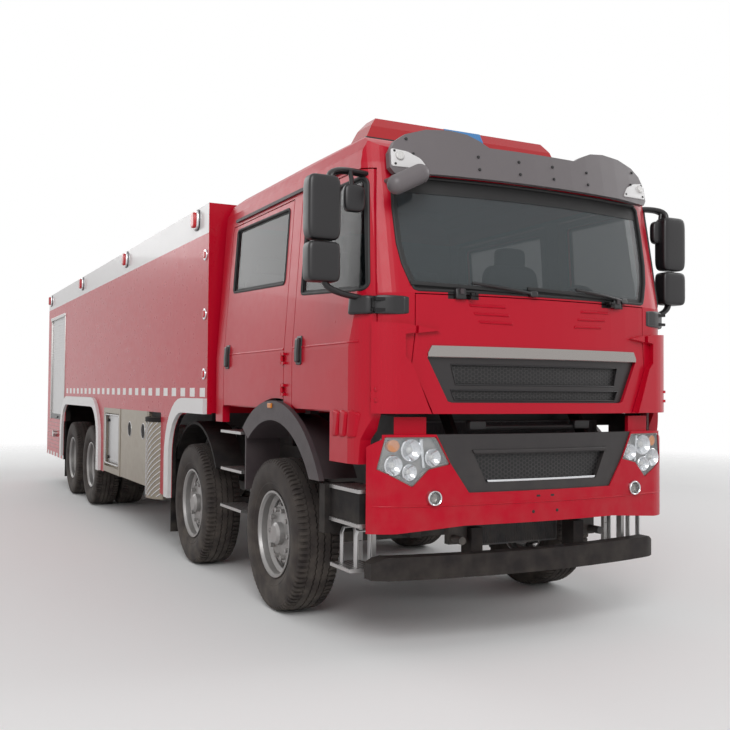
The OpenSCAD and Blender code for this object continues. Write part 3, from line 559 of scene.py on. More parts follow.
@dataclass(frozen=True)
class Honeycomb(Finish):
    """Six-sided mesh: three cosine waves at 120 degrees add up to a peak in each hole."""

    pitch: float = 0.022
    hole_level: tuple[float, float] = (-0.6, -0.1)

    def holes(self, s: Shader) -> Sock:
        """Adds the waves and cuts them at a level.

        Args:
            s: The shader.

        Returns:
            1 inside a hole, else 0.
        """
        k = TURN / self.pitch
        y, half, rise = (s.axes()[a] * b for a, b in ((1, k), (1, k * 0.5), (2, k * SIN_60)))
        return s.ramp(y.cos() + (half + rise).cos() + (rise - half).cos(), *self.hole_level)

    def tint(self, s: Shader, base: Sock) -> Sock:
        """Black in the holes."""
        return s.mix(self.holes(s), base, linear("050505"))

    def height(self, s: Shader) -> Sock:
        """The wires stand above the holes."""
        return 1.0 - self.holes(s)


@dataclass(frozen=True)
class Ribbed(Finish):
    """A lamp lens or louvre with even ribs along one axis."""

    axis: int = 2
    pitch: float = 0.012

    def height(self, s: Shader) -> Sock:
        """A cosine wave along the axis."""
        return (s.axes()[self.axis] * (TURN / self.pitch)).cos() * 0.5 + 0.5


@dataclass(frozen=True)
class Pane(Finish):
    """Tinted glass: a dark film over a clear pane, without grain or dust."""

    grain: float = 0.0
    mottle: float = 0.0
    dust: float = 0.0
    see_through: float = 0.5

    def extras(self, s: Shader) -> None:
        """Clear by its alpha, with a hard smooth face."""
        s.set(Alpha=1.0 - self.see_through, IOR=1.5)
        s.material.surface_render_method = "BLENDED"


@dataclass(frozen=True)
class Weave(Finish):
    """Seat cloth: two crossed waves."""

    pitch: float = 0.006

    def height(self, s: Shader) -> Sock:
        """Warp and weft as the product of two cosine waves."""
        x, y, z = s.axes()
        return ((x + z) * (TURN / self.pitch)).cos() * (y * (TURN / self.pitch)).cos() * 0.5 + 0.5


class Finishes:
    """Every finish on the truck, by the part that wears it."""

    RED = "bb0826"
    PAINT = Finish("red_paint", RED, 0.34, coat=0.08, specular=0.14, grain=0.0, mottle=0.06)
    CAB = CabPaint("cab_paint", RED, 0.32, coat=0.12, specular=0.22, grain=0.0, mottle=0.06)
    BODY = CheckedPaint("body_paint", RED, 0.3, coat=0.1, specular=0.18, grain=0.0, mottle=0.06)
    MODULE = replace(BODY, name="module_paint", strip_z=0.478, rib_pitch=0.058)
    WHITE = Finish(
        "white_paint", "dedcdc", 0.36, coat=0.2, specular=0.3, grain=0.00004, mottle=0.05, dust=0.2
    )
    BLACK = Finish("black_plastic", "2a2627", 0.55, grain=0.00025, grain_scale=700.0)
    SATIN = Finish("satin_black", "1b191b", 0.36, grain=0.0001, grain_scale=700.0)
    FLARE = Finish("flare_plastic", "3d3437", 0.52, grain=0.0002, grain_scale=600.0)
    VISOR = Finish("visor_plastic", "6a6466", 0.42, grain=0.0001, grain_scale=600.0, dust=0.0)
    GUARD = Finish("guard_plastic", "1a1718", 0.7, specular=0.2, grain=0.0002, grain_scale=500.0)
    CHASSIS = Finish("chassis_paint", "2b292a", 0.5, grain=0.0004, grain_scale=90.0, dust=0.6)
    ENGINE = Finish("cast_grey", "5b5c5e", 0.55, 0.3, grain=0.0006, grain_scale=120.0, dust=0.6)
    RUBBER = Finish("tyre_rubber", "2c2523", 0.82, grain=0.0004, grain_scale=240.0, dust=0.3)
    SEAL = Finish("rubber_seal", "161516", 0.6, dust=0.1)
    RIM = Finish("rim_silver", "a09e9d", 0.38, 0.6, grain=0.0002, grain_scale=180.0, dust=0.3)
    CHROME = Finish("chrome", "d9dadd", 0.12, 1.0, grain=0.00002, mottle=0.04, dust=0.1)
    STEEL = Brushed("stainless", "b9b7b5", 0.32, 1.0, grain=0.00006, dust=0.15)
    COVER = Brushed("cover_alloy", "9a9184", 0.42, 0.75, grain=0.00006, dust=0.2)
    SHUTTER = Brushed("shutter_alloy", "bdbcbc", 0.36, 0.9, grain=0.00006, dust=0.1)
    DECK = Treadplate("deck_plate", "a9a9ab", 0.38, 0.8, grain=0.0014, pitch=0.05, dust=0.0)
    STEP = Perforated("step_plate", "b7b5b4", 0.36, 0.9, grain=0.002, dust=0.15)
    MESH = Honeycomb("grille_mesh", "2c292a", 0.5, grain=0.003, dust=0.0)
    GRILLE = BandPaint("grille_plastic", "262223", 0.42, low=1.722, high=1.80, second="9a9592", dust=0.0)
    GLASS = Pane("window_glass", "0c0f10", 0.09, see_through=0.42, specular=0.3)
    SCREEN = Pane("screen_glass", "4a5154", 0.09, see_through=0.45)
    CLEAR = Pane("lamp_glass", "dfe6ea", 0.1, see_through=0.86)
    LAMP_BACK = Finish("lamp_housing", "8c8782", 0.3, 0.6, grain=0.00003, dust=0.0)
    MIRROR = Finish("mirror_glass", "cfd6da", 0.09, 1.0, grain=0.0, mottle=0.0, dust=0.0)
    LIGHT_BAR = BandPaint(
        "light_bar_dome", "b8121e", 0.2, low=3.0, high=3.2148, second="262425", second_metallic=0.0, dust=0.0
    )
    RADIATOR = Ribbed("radiator_fins", "39383a", 0.55, 0.4, grain=0.002, axis=1, pitch=0.014, dust=0.4)
    AMBER = Ribbed("amber_lens", "d8801f", 0.2, grain=0.0004, pitch=0.008, dust=0.0)
    RED_LENS = Ribbed("red_lens", "c81722", 0.2, grain=0.0006, axis=1, pitch=0.02, dust=0.0)
    BLUE_LENS = Ribbed("blue_lens", "2b7fc0", 0.2, grain=0.0006, axis=1, pitch=0.02, dust=0.0)
    CLEAR_LENS = Ribbed("clear_lens", "d8d6d4", 0.18, grain=0.0006, axis=1, pitch=0.012, dust=0.0)
    CLOTH = Weave("seat_cloth", "3a3a3d", 0.9, grain=0.0006, dust=0.0)
    DASH = Finish("dash_plastic", "343234", 0.6, grain=0.0003, grain_scale=500.0, dust=0.0)
    UNDERRUN = Finish(
        "underrun_paint", "201b1b", 0.62, specular=0.25, grain=0.0004, grain_scale=220.0, dust=0.15
    )
    FLOOR = Ground("studio_floor", "f4f4f4", 0.7, grain=0.0, mottle=0.0, dust=0.0)


NODE_FINISH: dict[str, Finish] = {
    "cab_shell": Finishes.CAB, "cab_roof": Finishes.PAINT, "cab_glass": Finishes.SCREEN,
    "cab_trim": Finishes.FLARE, "sun_visor": Finishes.VISOR, "light_bar": Finishes.LIGHT_BAR,
    "cab_interior": Finishes.DASH, "door": Finishes.CAB, "glass": Finishes.GLASS, "mirror": Finishes.SATIN,
    "front_flap": Finishes.CAB, "grille": Finishes.GRILLE, "bumper": Finishes.PAINT,
    "low_grille": Finishes.BLACK, "headlamps": Finishes.CHROME, "underrun_bar": Finishes.UNDERRUN,
    "entry_steps": Finishes.STEP, "mudguards": Finishes.GUARD, "frame": Finishes.CHASSIS,
    "axles": Finishes.CHASSIS, "driveline": Finishes.ENGINE, "side_tanks": Finishes.STEEL,
    "tank_body": Finishes.BODY, "pump_module": Finishes.MODULE, "white_panels": Finishes.WHITE,
    "roof_deck": Finishes.DECK, "shutters": Finishes.SHUTTER, "side_covers": Finishes.COVER,
    "marker_lamps": Finishes.AMBER, "rear_fittings": Finishes.STEEL, "monitor": Finishes.PAINT,
    "knuckle": Finishes.CHASSIS, "tyre": Finishes.RUBBER, "rim": Finishes.RIM,
}  # fmt: skip


# Surfaces


def angles(n: int) -> Array:
    """Equal steps round a circle, in radians."""
    return np.linspace(0.0, TURN, n, endpoint=False)


def circle(radius: float, n: int = 10) -> Array:
    """A circle as a closed profile."""
    return radius * np.stack([np.cos(angles(n)), np.sin(angles(n))], axis=-1)


def disc(a: float, b: float, radius: float, n: int = 20) -> Array:
    """A circle's outline round (a, b)."""
    return np.array([a, b]) + circle(radius, n)


def turned(points: Sequence[Sequence[float]], n: int) -> Array:
    """Turns a profile about an axis.

    The point at angle t is (axial, radius cos t, radius sin t).

    Args:
        points: Axial place and radius of each profile point.
        n: Steps round the axis.

    Returns:
        A grid of points, profile by angle.
    """
    p, t = np.asarray(points, float), angles(n)[None]
    return np.stack([np.repeat(p[:, :1], n, 1), p[:, 1:] * np.cos(t), p[:, 1:] * np.sin(t)], axis=-1)


def curve(a: Array, b: Array, c: Array, t: Array) -> Array:
    """A quadratic curve from a to c that is drawn towards b."""
    return (1 - t) ** 2 * a + 2 * t * (1 - t) * b + t**2 * c


def eased(corners: Sequence[Sequence[float]], radius: float) -> Array:
    """Rounds an outline's corners.

    Each corner is a quadratic curve from a point radius before it to a point radius after it.

    Args:
        corners: The outline's corners in order.
        radius: Length cut from each edge at a corner.

    Returns:
        The rounded outline.
    """
    c = np.asarray(corners, float)
    back, ahead = np.roll(c, 1, 0) - c, np.roll(c, -1, 0) - c
    back_length, ahead_length = (np.linalg.norm(e, axis=1)[:, None] for e in (back, ahead))
    cut = np.minimum(radius, 0.5 * np.minimum(back_length, ahead_length))
    a, b = c + back / back_length * cut, c + ahead / ahead_length * cut
    t = np.linspace(0.0, 1.0, 5)[None, :, None]
    return curve(a[:, None], c[:, None], b[:, None], t).reshape(-1, 2)


def box_outline(low: Sequence[float], high: Sequence[float], radius: float) -> Array:
    """A rounded rectangle from its low and high corners."""
    (a, b), (c, d) = low, high
    return eased([(a, b), (c, b), (c, d), (a, d)], radius)


def dense(outline: Sequence[Sequence[float]], step: float = 0.03) -> Array:
    """Adds points along an outline's edges, so that it can follow a curved surface.

    Args:
        outline: Closed outline.
        step: Longest edge left.

    Returns:
        The outline with every edge cut into equal parts.
    """
    o = np.asarray(outline, float)
    edge = np.roll(o, -1, 0) - o
    n = np.maximum(1, np.ceil(np.linalg.norm(edge, axis=1) / step).astype(int))
    k = np.repeat(np.arange(len(o)), n)
    t = (np.arange(len(k)) - np.repeat(np.cumsum(n) - n, n)) / n[k]
    return o[k] + edge[k] * t[:, None]


def fine_box(low: Sequence[float], high: Sequence[float], radius: float, step: float = 0.03) -> Array:
    """A rounded rectangle with points along its edges."""
    return dense(box_outline(low, high, radius), step)


def two_sided(half: Sequence[Sequence[float]]) -> list[tuple[float, float]]:
    """A front outline from its left half: the same points again in reverse with y turned over."""
    return [*((a, b) for a, b in half), *((-a, b) for a, b in reversed(half))]


def inset(outline: Array, by: float) -> Array:
    """Moves a closed outline inwards along its own normals.

    Args:
        outline: Closed outline in two directions.
        by: How far inwards.

    Returns:
        The smaller outline.
    """
    edge = np.roll(outline, -1, 0) - np.roll(outline, 1, 0)
    length = np.maximum(np.linalg.norm(edge, axis=1, keepdims=True), 1e-9)
    out = np.stack([edge[:, 1], -edge[:, 0]], axis=-1) / length
    (a, b), (c, d) = outline.T, np.roll(outline, -1, 0).T
    turn = np.sum(a * d - c * b)
    return outline - out * by * (1.0 if turn > 0 else -1.0)


def lifted(outline: Array, height: float) -> Array:
    """An outline's points with one height for all."""
    return np.column_stack([outline, np.full(len(outline), height)])


def slab(outline: Array, depth: float, bevel: float, place: Place, start: float = 0.0) -> Array:
    """Raises an outline off a surface, with a rounded edge and a filled top.

    Rings of the outline climb from start to depth, step in over the bevel, and then shrink to the middle.

    Args:
        outline: Closed outline in the surface's two directions.
        depth: Height of the top.
        bevel: Size of the rounded edge.
        place: Carries (u, v, height) to the truck's frame.
        start: Height of the foot.

    Returns:
        A grid of points, ring by outline.
    """
    t = np.linspace(0.0, math.pi / 2, 4)
    sign = 1.0 if depth > start else -1.0
    shrink = bevel * (1.0 - np.cos(t))
    rise = depth - sign * bevel * (1.0 - np.sin(t))
    rings = [(outline, start)] + [(inset(outline, i), r) for i, r in zip(shrink, rise)]
    middle, inner = outline.mean(0), inset(outline, bevel)
    rings += [(middle + (inner - middle) * k, depth) for k in np.linspace(0.875, 0.0, 8)]
    return place(np.stack([lifted(o, h) for o, h in rings]))


def swept(
    path: Sequence[Sequence[float]],
    profile: Array,
    up: Sequence[float] = (0.0, 0.0, 1.0),
    closed: bool = False,
) -> Array:
    """Carries a closed profile along a path.

    At each path point the profile's first axis is the tangent crossed with up, and its second the rest of up.

    Args:
        path: Points along the path.
        profile: Closed profile in two axes.
        up: The direction that the second axis keeps to.
        closed: Whether the path ends where it began.

    Returns:
        A grid of points, path by profile.
    """
    p = np.asarray(path, float)
    along = np.roll(p, -1, 0) - np.roll(p, 1, 0) if closed else np.gradient(p, axis=0)
    along /= np.linalg.norm(along, axis=1)[:, None]
    side = np.cross(along, np.asarray(up, float))
    side /= np.linalg.norm(side, axis=1)[:, None]
    top = np.cross(side, along)
    return p[:, None] + profile[None, :, :1] * side[:, None] + profile[None, :, 1:] * top[:, None]


def off_axis(path: Sequence[Sequence[float]]) -> tuple[float, float, float]:
    """An up direction that the path doesn't run along."""
    run = np.abs(np.asarray(path[-1], float) - np.asarray(path[0], float))
    return (0.0, 0.0, 1.0) if run[2] < 0.7 * np.linalg.norm(run) else (1.0, 0.0, 0.0)


def cushion(middle: Sequence[float], half: Sequence[float], power: float = 0.35, n: int = 28) -> Array:
    """Makes a stuffed block that swells between its corners.

    It is a ball whose sines and cosines are raised to a power below one, with their signs kept.

    Args:
        middle: Its middle.
        half: Half its size along x, y and z.
        power: 1 is a ball, near 0 a box.
        n: Steps round.

    Returns:
        A grid of points, rings by steps.
    """
    u, v = np.linspace(-math.pi / 2, math.pi / 2, n // 2 + 1)[:, None], angles(n)[None]
    waves = (np.cos(u), np.sin(u), np.cos(v), np.sin(v))
    ring, rise, x, y = (np.sign(a) * np.abs(a) ** power for a in waves)
    ball = np.stack(np.broadcast_arrays(ring * x, ring * y, rise), -1)
    return np.asarray(middle, float) + ball * np.asarray(half, float)


def crossways(side: Array, y: Array) -> Array:
    """Carries a side outline, x from axle 1 and z, across the truck.

    Args:
        side: The outline, or one outline for each y.
        y: Places across the truck.

    Returns:
        A grid of points, y by outline.
    """
    parts = (AXLE_1 + side[..., :1], y[:, None, None], side[..., 1:])
    return np.concatenate(np.broadcast_arrays(*parts), axis=-1)


# Places


def flat(origin: Sequence[float], u: Sequence[float], v: Sequence[float]) -> Place:
    """A plane as a place.

    Args:
        origin: Where u and v are nought.
        u: The first direction.
        v: The second direction; height goes along their cross product.

    Returns:
        The place.
    """
    o, a, b = (np.asarray(k, float) for k in (origin, u, v))
    w = np.cross(a, b)
    return lambda p: o + p[..., :1] * a + p[..., 1:2] * b + p[..., 2:] * w


def end_wall(x: float, way: float = 1.0) -> Place:
    """An upright wall across the truck: y, z and height forwards; way -1 turns y and height about."""
    return flat((AXLE_1 + x, 0.0, 0.0), (0.0, way, 0.0), (0.0, 0.0, 1.0))


def wall(side: Side, y: float) -> Place:
    """An upright wall along the truck at y from its middle: x from axle 1, z and height outwards.

    Args:
        side: The side that it faces.
        y: Its distance from the truck's middle.

    Returns:
        The place.
    """

    def place(p: Array) -> Array:
        """Carries (x, z, height) to the truck's frame."""
        x, z, height = np.moveaxis(p, -1, 0)
        return np.stack([AXLE_1 + x, side.value * (y + height), z], axis=-1)

    return place


@dataclass(frozen=True)
class CabSkin:
    """The cab's outer surface: a bowed nose, round corners, sides that lean in above the belt, a leant front.

    Places on it take lengths along the truck from axle 1.
    """

    nose_x: float = 1.490
    nose_r: float = 4.690
    corner_r: float = 0.270
    corner_turn: float = math.radians(12.0)
    half_width: float = 1.180
    gutter_half: float = 1.105
    belt_z: float = 1.780
    gutter_z: float = 2.880
    cowl_z: float = 2.100
    lean: float = math.radians(11.0)

    @property
    def corner_y(self) -> float:
        """Centre of the corner across the truck."""
        return self.half_width - self.corner_r

    @property
    def join_y(self) -> float:
        """Where the nose's bow meets the corner."""
        return self.corner_y + self.corner_r * math.sin(self.corner_turn)

    @property
    def corner_x(self) -> float:
        """Centre of the corner along the truck."""
        bow = self.nose_r - math.sqrt(self.nose_r**2 - self.join_y**2)
        return self.nose_x - bow - self.corner_r * math.cos(self.corner_turn)

    def corner(self, away: Array) -> Array:
        """The corner's arc: how far it reaches at a distance from its centre."""
        return np.sqrt(np.maximum(self.corner_r**2 - np.maximum(away, 0.0) ** 2, 0.0))

    def front_x(self, y: Array, z: Array) -> Array:
        """How far forward the skin lies: the nose arc, then the corner arc, leant back above the cowl.

        Args:
            y: Places across the truck.
            z: Heights.

        Returns:
            Lengths ahead of axle 1.
        """
        a = np.abs(y)
        nose = self.nose_x - self.nose_r + np.sqrt(self.nose_r**2 - np.minimum(a, self.join_y) ** 2)
        plan = np.where(a < self.join_y, nose, self.corner_x + self.corner(a - self.corner_y))
        rise = (z - self.cowl_z) * math.tan(self.lean)
        return np.minimum(plan, self.nose_x + (plan - self.nose_x) / math.cos(self.lean) - rise)

    def side_y(self, x: Array, z: Array) -> Array:
        """How far out the skin lies: the leaning side, or the corner arc where that is nearer.

        Args:
            x: Lengths ahead of axle 1.
            z: Heights.

        Returns:
            Distances from the truck's middle.
        """
        rise = np.clip((z - self.belt_z) / (self.gutter_z - self.belt_z), 0.0, 1.0)
        side = self.half_width - rise * (self.half_width - self.gutter_half)
        back = x + (z - self.cowl_z) * math.tan(self.lean) - self.nose_x
        ahead = np.maximum(x, self.nose_x + back * math.cos(self.lean)) - self.corner_x
        return np.minimum(side, self.corner_y + self.corner(ahead))

    def front(self) -> Place:
        """A place on the front: y, z and height along X.

        Returns:
            The place.
        """

        def place(p: Array) -> Array:
            """Carries (y, z, height) to the truck's frame."""
            y, z, height = np.moveaxis(p, -1, 0)
            return np.stack([AXLE_1 + self.front_x(y, z) + height, y, z], axis=-1)

        return place

    def flank(self, side: Side) -> Place:
        """A place on one side: x, z and height outwards.

        Args:
            side: The side.

        Returns:
            The place.
        """

        def place(p: Array) -> Array:
            """Carries (x, z, height) to the truck's frame."""
            x, z, height = np.moveaxis(p, -1, 0)
            return np.stack([AXLE_1 + x, side.value * (self.side_y(x, z) + height), z], axis=-1)

        return place


# Meshes


class Form:
    """Grids of points gathered into one mesh."""

    def __init__(self) -> None:
        """Starts empty."""
        self.points: list[Array] = []
        self.faces: list[list[int]] = []
        self.count = 0

    def grid(self, p: Array, ends: bool = False, round_: bool = False) -> Form:
        """Adds a grid of quads that closes on itself along v.

        Args:
            p: Points, u by v by 3.
            ends: Whether the first and last rows are filled.
            round_: Whether u closes on itself.

        Returns:
            This form.
        """
        nu, nv = p.shape[:2]
        at = np.arange(nu * nv).reshape(nu, nv) + self.count
        at = np.concatenate([at, at[:, :1]], 1)
        at = np.concatenate([at, at[:1]], 0) if round_ else at
        quads = np.stack([at[:-1, :-1], at[1:, :-1], at[1:, 1:], at[:-1, 1:]], axis=-1)
        self.faces += quads.reshape(-1, 4).tolist()
        if ends:
            self.faces += [at[0, :nv].tolist(), at[-1, :nv][::-1].tolist()]
        self.points.append(p.reshape(-1, 3))
        self.count += nu * nv
        return self

    def slab(self, outline: Array, depth: float, bevel: float, place: Place, start: float = 0.0) -> Form:
        """Adds a raised outline with its foot filled."""
        return self.grid(slab(outline, depth, bevel, place, start), ends=True)

    def tube(self, path: Sequence[Sequence[float]], radius: float, n: int = 10) -> Form:
        """Adds a round bar along a path, filled at its ends."""
        return self.grid(swept(path, circle(radius, n), off_axis(path)), ends=True)

    def rim(self, outline: Array, place: Place, radius: float, height: float) -> Form:
        """Adds a round cord that follows a closed outline.

        Args:
            outline: The outline in the surface's two directions.
            place: The surface.
            radius: Of the cord.
            height: Of the cord's middle above the surface.

        Returns:
            This form.
        """
        path = place(lifted(outline, height))
        up = np.eye(3)[int(np.argmin(np.ptp(path, axis=0)))]
        return self.grid(swept(path, circle(radius, 8), up, closed=True), round_=True)

    def frame(self, outline: Array, width: float, place: Place, height: float) -> Form:
        """Adds a flat band, a millimetre thick, inside a closed outline.

        Args:
            outline: The outline in the surface's two directions.
            width: Of the band.
            place: The surface.
            height: Of the band's face above the surface.

        Returns:
            This form.
        """
        low = height - 0.001
        corners = ((0.0, height), (width, height), (width, low), (0.0, low))
        rings = [lifted(inset(outline, w), h) for w, h in corners]
        return self.grid(place(np.stack(rings)), round_=True)

    def mirrored(self) -> Form:
        """Adds the same again on the other side of the truck.

        Returns:
            This form.
        """
        points = np.concatenate(self.points)
        self.faces += [[k + self.count for k in f[::-1]] for f in self.faces]
        self.points.append(points * np.array([1.0, -1.0, 1.0]))
        self.count *= 2
        return self

    def piece(self, name: str, finish: Finish, body: str, sharp: float = 32.0) -> bpy.types.Object:
        """Makes the object.

        Args:
            name: The piece's name.
            finish: What it wears.
            body: The CAD body that it rides on.
            sharp: Edges that turn more than this, in degrees, stay sharp.

        Returns:
            The object, riding on its body.
        """
        mesh = bpy.data.meshes.new(name)
        mesh.from_pydata(np.concatenate(self.points).tolist(), [], self.faces)
        work = bmesh.new()
        work.from_mesh(mesh)
        bmesh.ops.remove_doubles(work, verts=work.verts, dist=1e-6)
        bmesh.ops.dissolve_degenerate(work, edges=work.edges, dist=1e-7)
        bmesh.ops.recalc_face_normals(work, faces=work.faces)
        work.to_mesh(mesh)
        work.free()
        mesh.polygons.foreach_set("use_smooth", np.ones(len(mesh.polygons), bool))
        mesh.set_sharp_from_angle(angle=math.radians(sharp))
        obj = bpy.data.objects.new(name, mesh)
        bpy.context.scene.collection.objects.link(obj)
        finish.dress(obj)
        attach(obj, body)
        LOG.info("made %s: %d faces", name, len(mesh.polygons))
        return obj


# Sub-assemblies


@dataclass
class Wheels:
    """Tyres with a road tread: four single in front, four twin pairs behind."""

    axle_x: tuple[float, ...] = (4.430, 2.480, -2.170, -3.570)
    front_track: float = 1.053
    rear_track: float = 1.062
    twin_pitch: float = 0.345
    radius: float = 0.525
    pitches: int = 80
    groove: float = 0.014
    zigzag: float = 0.0045
    tread_r: float = 0.50
    shoulder: tuple[float, float] = (0.0985, 0.1400)
    rings: Outline = ((0.0690, 0.0788), (0.0198, 0.0288))
    slot_steps: tuple[float, ...] = (0.0, 0.05, 0.45, 0.5)
    slot_depths: tuple[float, ...] = (0.0, 1.0, 1.0, 0.0)
    half_section: Outline = (
        (0.2868, 0.1172), (0.300, 0.1176), (0.312, 0.128), (0.345, 0.143), (0.349, 0.1455),
        (0.357, 0.1455), (0.361, 0.148), (0.400, 0.1562), (0.430, 0.1565), (0.462, 0.1525),
        (0.478, 0.1485), (0.480, 0.1465), (0.486, 0.1460), (0.489, 0.1455), (0.5075, 0.1390),
        (0.5130, 0.1330), (0.5180, 0.1220), (0.5195, 0.1000), (0.5205, 0.0790), (0.5205, 0.0785),
        (0.5210, 0.0690), (0.5210, 0.0685), (0.5225, 0.0480), (0.5240, 0.0290), (0.5240, 0.0285),
        (0.5245, 0.0200), (0.5245, 0.0195), (0.5250, 0.0),
    )  # fmt: skip

    def tyre(self) -> Array:
        """Works out one tyre, its axis along X.

        The radius is the section's, less the groove depth in four rings and in slots across each shoulder
        that repeat round the tyre. The rings sway to and fro across the tread, once for each slot.

        Returns:
            A grid of points, angle by section.
        """
        half = np.array(self.half_section)
        section = np.concatenate([half, (half * [1.0, -1.0])[-2::-1]])
        r, a = section[None, :, 0], section[None, :, 1]
        across, tread = np.abs(a), r > self.tread_r
        inner, outer = self.shoulder
        turn = (np.arange(self.pitches)[:, None] + np.array(self.slot_steps)).reshape(-1, 1)
        shoulder = tread & (across > inner) & (across < outer)
        slot = np.tile(self.slot_depths, self.pitches)[:, None] * shoulder
        ring = np.any([(across > low) & (across < high) for low, high in self.rings], axis=0)
        radius = r - self.groove * np.maximum(ring, slot)
        sway = self.zigzag * (4.0 * np.abs(turn % 1.0 - 0.5) - 1.0) * (tread & (across < inner))
        t = turn / self.pitches * TURN
        return np.stack([a + sway, radius * np.cos(t), radius * np.sin(t)], axis=-1)

    def place(self, grid: Array, x: float, y: float) -> Array:
        """Turns a tyre's axis to Y and moves it to its hub."""
        return np.stack([grid[..., 1] + x, grid[..., 0] + y, grid[..., 2] + self.radius], axis=-1)

    def build(self) -> None:
        """Makes the eight tyre pieces in the place of the plain ones."""
        tyre = self.tyre()
        single = ("tyre", "wheel", (self.front_track,))
        twin = ("tyres", "wheels", (self.rear_track, self.rear_track - self.twin_pitch))
        for axle, x in enumerate(self.axle_x, 1):
            stem, bodies, rows = single if axle < 3 else twin
            for side in Side:
                node, form = f"{stem}_{axle}{side.tag}", Form()
                for y in rows:
                    form.grid(self.place(tyre, x, side.value * y), round_=True)
                made = form.piece(f"road_{node}", Finishes.RUBBER, f"{bodies}_{axle}_{side.word}", 28.0)
                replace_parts(made, node)


@dataclass
class CabFront:
    """Screen, wipers, visor, light bar, flap, bumper grille and radiator."""

    skin: CabSkin = field(default_factory=CabSkin)
    screen: Outline = (
        (0.850, 2.110), (0.873, 2.118), (0.893, 2.155), (0.932, 2.263), (0.953, 2.385), (0.960, 2.594),
        (0.954, 2.765), (0.925, 2.798),
    )  # fmt: skip
    screen_band: Spots = (
        (0.957, 2.700, -0.0095), (0.954, 2.765, -0.0095), (0.925, 2.796, -0.0095),
        (0.925, 2.796, -0.0105), (0.957, 2.700, -0.0105),
    )  # fmt: skip
    wipers: tuple[tuple[float, float, float, float], ...] = (
        (-0.10, -0.52, -0.90, -0.17), (0.66, 0.24, -0.13, 0.60),
    )  # fmt: skip
    lug_y: float = 0.5975
    visor_panel: Outline = (
        (-0.984, 2.838), (-0.755, 2.830), (-0.800, 2.897), (-0.880, 2.936), (-0.980, 2.950),
    )  # fmt: skip
    visor_screws: Outline = ((0.88, 3.015), (0.13, 2.945), (0.13, 2.865), (0.42, 2.945), (0.42, 2.865))
    panel_screws: Outline = ((0.960, 2.935), (0.960, 2.855), (0.780, 2.850), (0.845, 2.925))
    bar_side: Outline = (
        (0.358, 3.213), (0.604, 3.213), (0.590, 3.295), (0.548, 3.362), (0.414, 3.362), (0.372, 3.295),
    )  # fmt: skip
    bar_lenses: Outline = ((-0.745, -0.560), (-0.50, -0.20))
    ribs: Spots = ((0.285, 0.530, 2.030), (0.259, 0.497, 1.981), (0.233, 0.463, 1.933))
    flap_mesh: tuple[Outline, ...] = (
        ((0.606, 1.562), (0.636, 1.680)), ((0.612, 1.470), (0.638, 1.530)),
    )  # fmt: skip

    def glazing(self) -> None:
        """The screen's dark border, top band and seal."""
        place = self.skin.front()
        edge = dense(two_sided(self.screen), 0.05)
        Form().frame(edge, 0.032, place, -0.0108).piece("screen_border", Finishes.SEAL, "cab")
        rows = [np.linspace((-half, z, h), (half, z, h), 61) for half, z, h in self.screen_band]
        Form().grid(place(np.stack(rows, axis=1)), ends=True).piece("screen_top_band", Finishes.SEAL, "cab")
        Form().rim(edge, place, 0.011, -0.004).piece("screen_seal", Finishes.SEAL, "cab")

    def wiping(self) -> None:
        """Two wipers with their feet, and caps over the flap's hinge lugs."""
        place = self.skin.front()
        arms, blades = Form(), Form()
        blade = box_outline((-0.006, -0.012), (0.006, 0.010), 0.003)
        t = np.linspace(0.0, 1.0, 9)
        for foot, tip, near, far in self.wipers:
            arch = 0.020 + 0.016 * np.sin(math.pi * t)
            arms.tube(place(np.column_stack([foot + (tip - foot) * t, 2.118 + 0.045 * t, arch])), 0.009)
            rod = np.linspace((near, 2.150, 0.010), (far, 2.150 - 0.03 * (far - near), 0.010), 15)
            blades.grid(swept(place(rod), blade), ends=True)
            shoe = fine_box((foot - 0.028, 2.098), (foot + 0.028, 2.136), 0.012)
            arms.slab(shoe, 0.034, 0.008, place)
        for y in (-self.lug_y, self.lug_y):
            arms.slab(fine_box((y - 0.034, 2.062), (y + 0.034, 2.128), 0.012), 0.026, 0.008, place)
        arms.piece("wiper_arms", Finishes.SATIN, "cab")
        blades.piece("wiper_blades", Finishes.SEAL, "cab")

    def visor(self) -> None:
        """White lamp panels at the visor's ends, their lamps, and screws."""
        place = self.skin.front()
        panels = Form().slab(dense(eased(self.visor_panel, 0.018)), 0.078, 0.004, place, 0.060)
        panels.mirrored().piece("visor_lamp_panels", Finishes.WHITE, "cab")
        lamps = Form().slab(disc(-0.932, 2.905, 0.026), 0.092, 0.006, place, 0.075)
        lamps.mirrored().piece("visor_lamps", Finishes.CLEAR_LENS, "cab")
        screws = Form()
        for y, z in self.visor_screws:
            screws.slab(disc(-y, z, 0.009, 12), 0.080, 0.003, place, 0.066)
        for y, z in self.panel_screws:
            screws.slab(disc(-y, z, 0.007, 12), 0.083, 0.002, place, 0.070)
        screws.mirrored().piece("visor_screws", Finishes.SEAL, "cab")

    def light_bar(self) -> None:
        """Blue middle and clear end lenses of the light bar."""
        grown = inset(dense(self.bar_side, 0.02), -0.003)
        middle = Form().grid(crossways(grown, np.linspace(-0.15, 0.15, 5)), ends=True)
        middle.piece("light_bar_middle", Finishes.BLUE_LENS, "cab")
        place = flat((AXLE_1 + 0.604, 0.0, 0.0), (0.0, 1.0, 0.0), (-0.05, 0.0, 0.99))
        lenses = Form()
        for low, high in self.bar_lenses:
            lenses.slab(box_outline((low, 3.250), (high, 3.290), 0.012), 0.006, 0.004, place, -0.01)
        lenses.mirrored().piece("light_bar_lenses", Finishes.CLEAR_LENS, "cab")

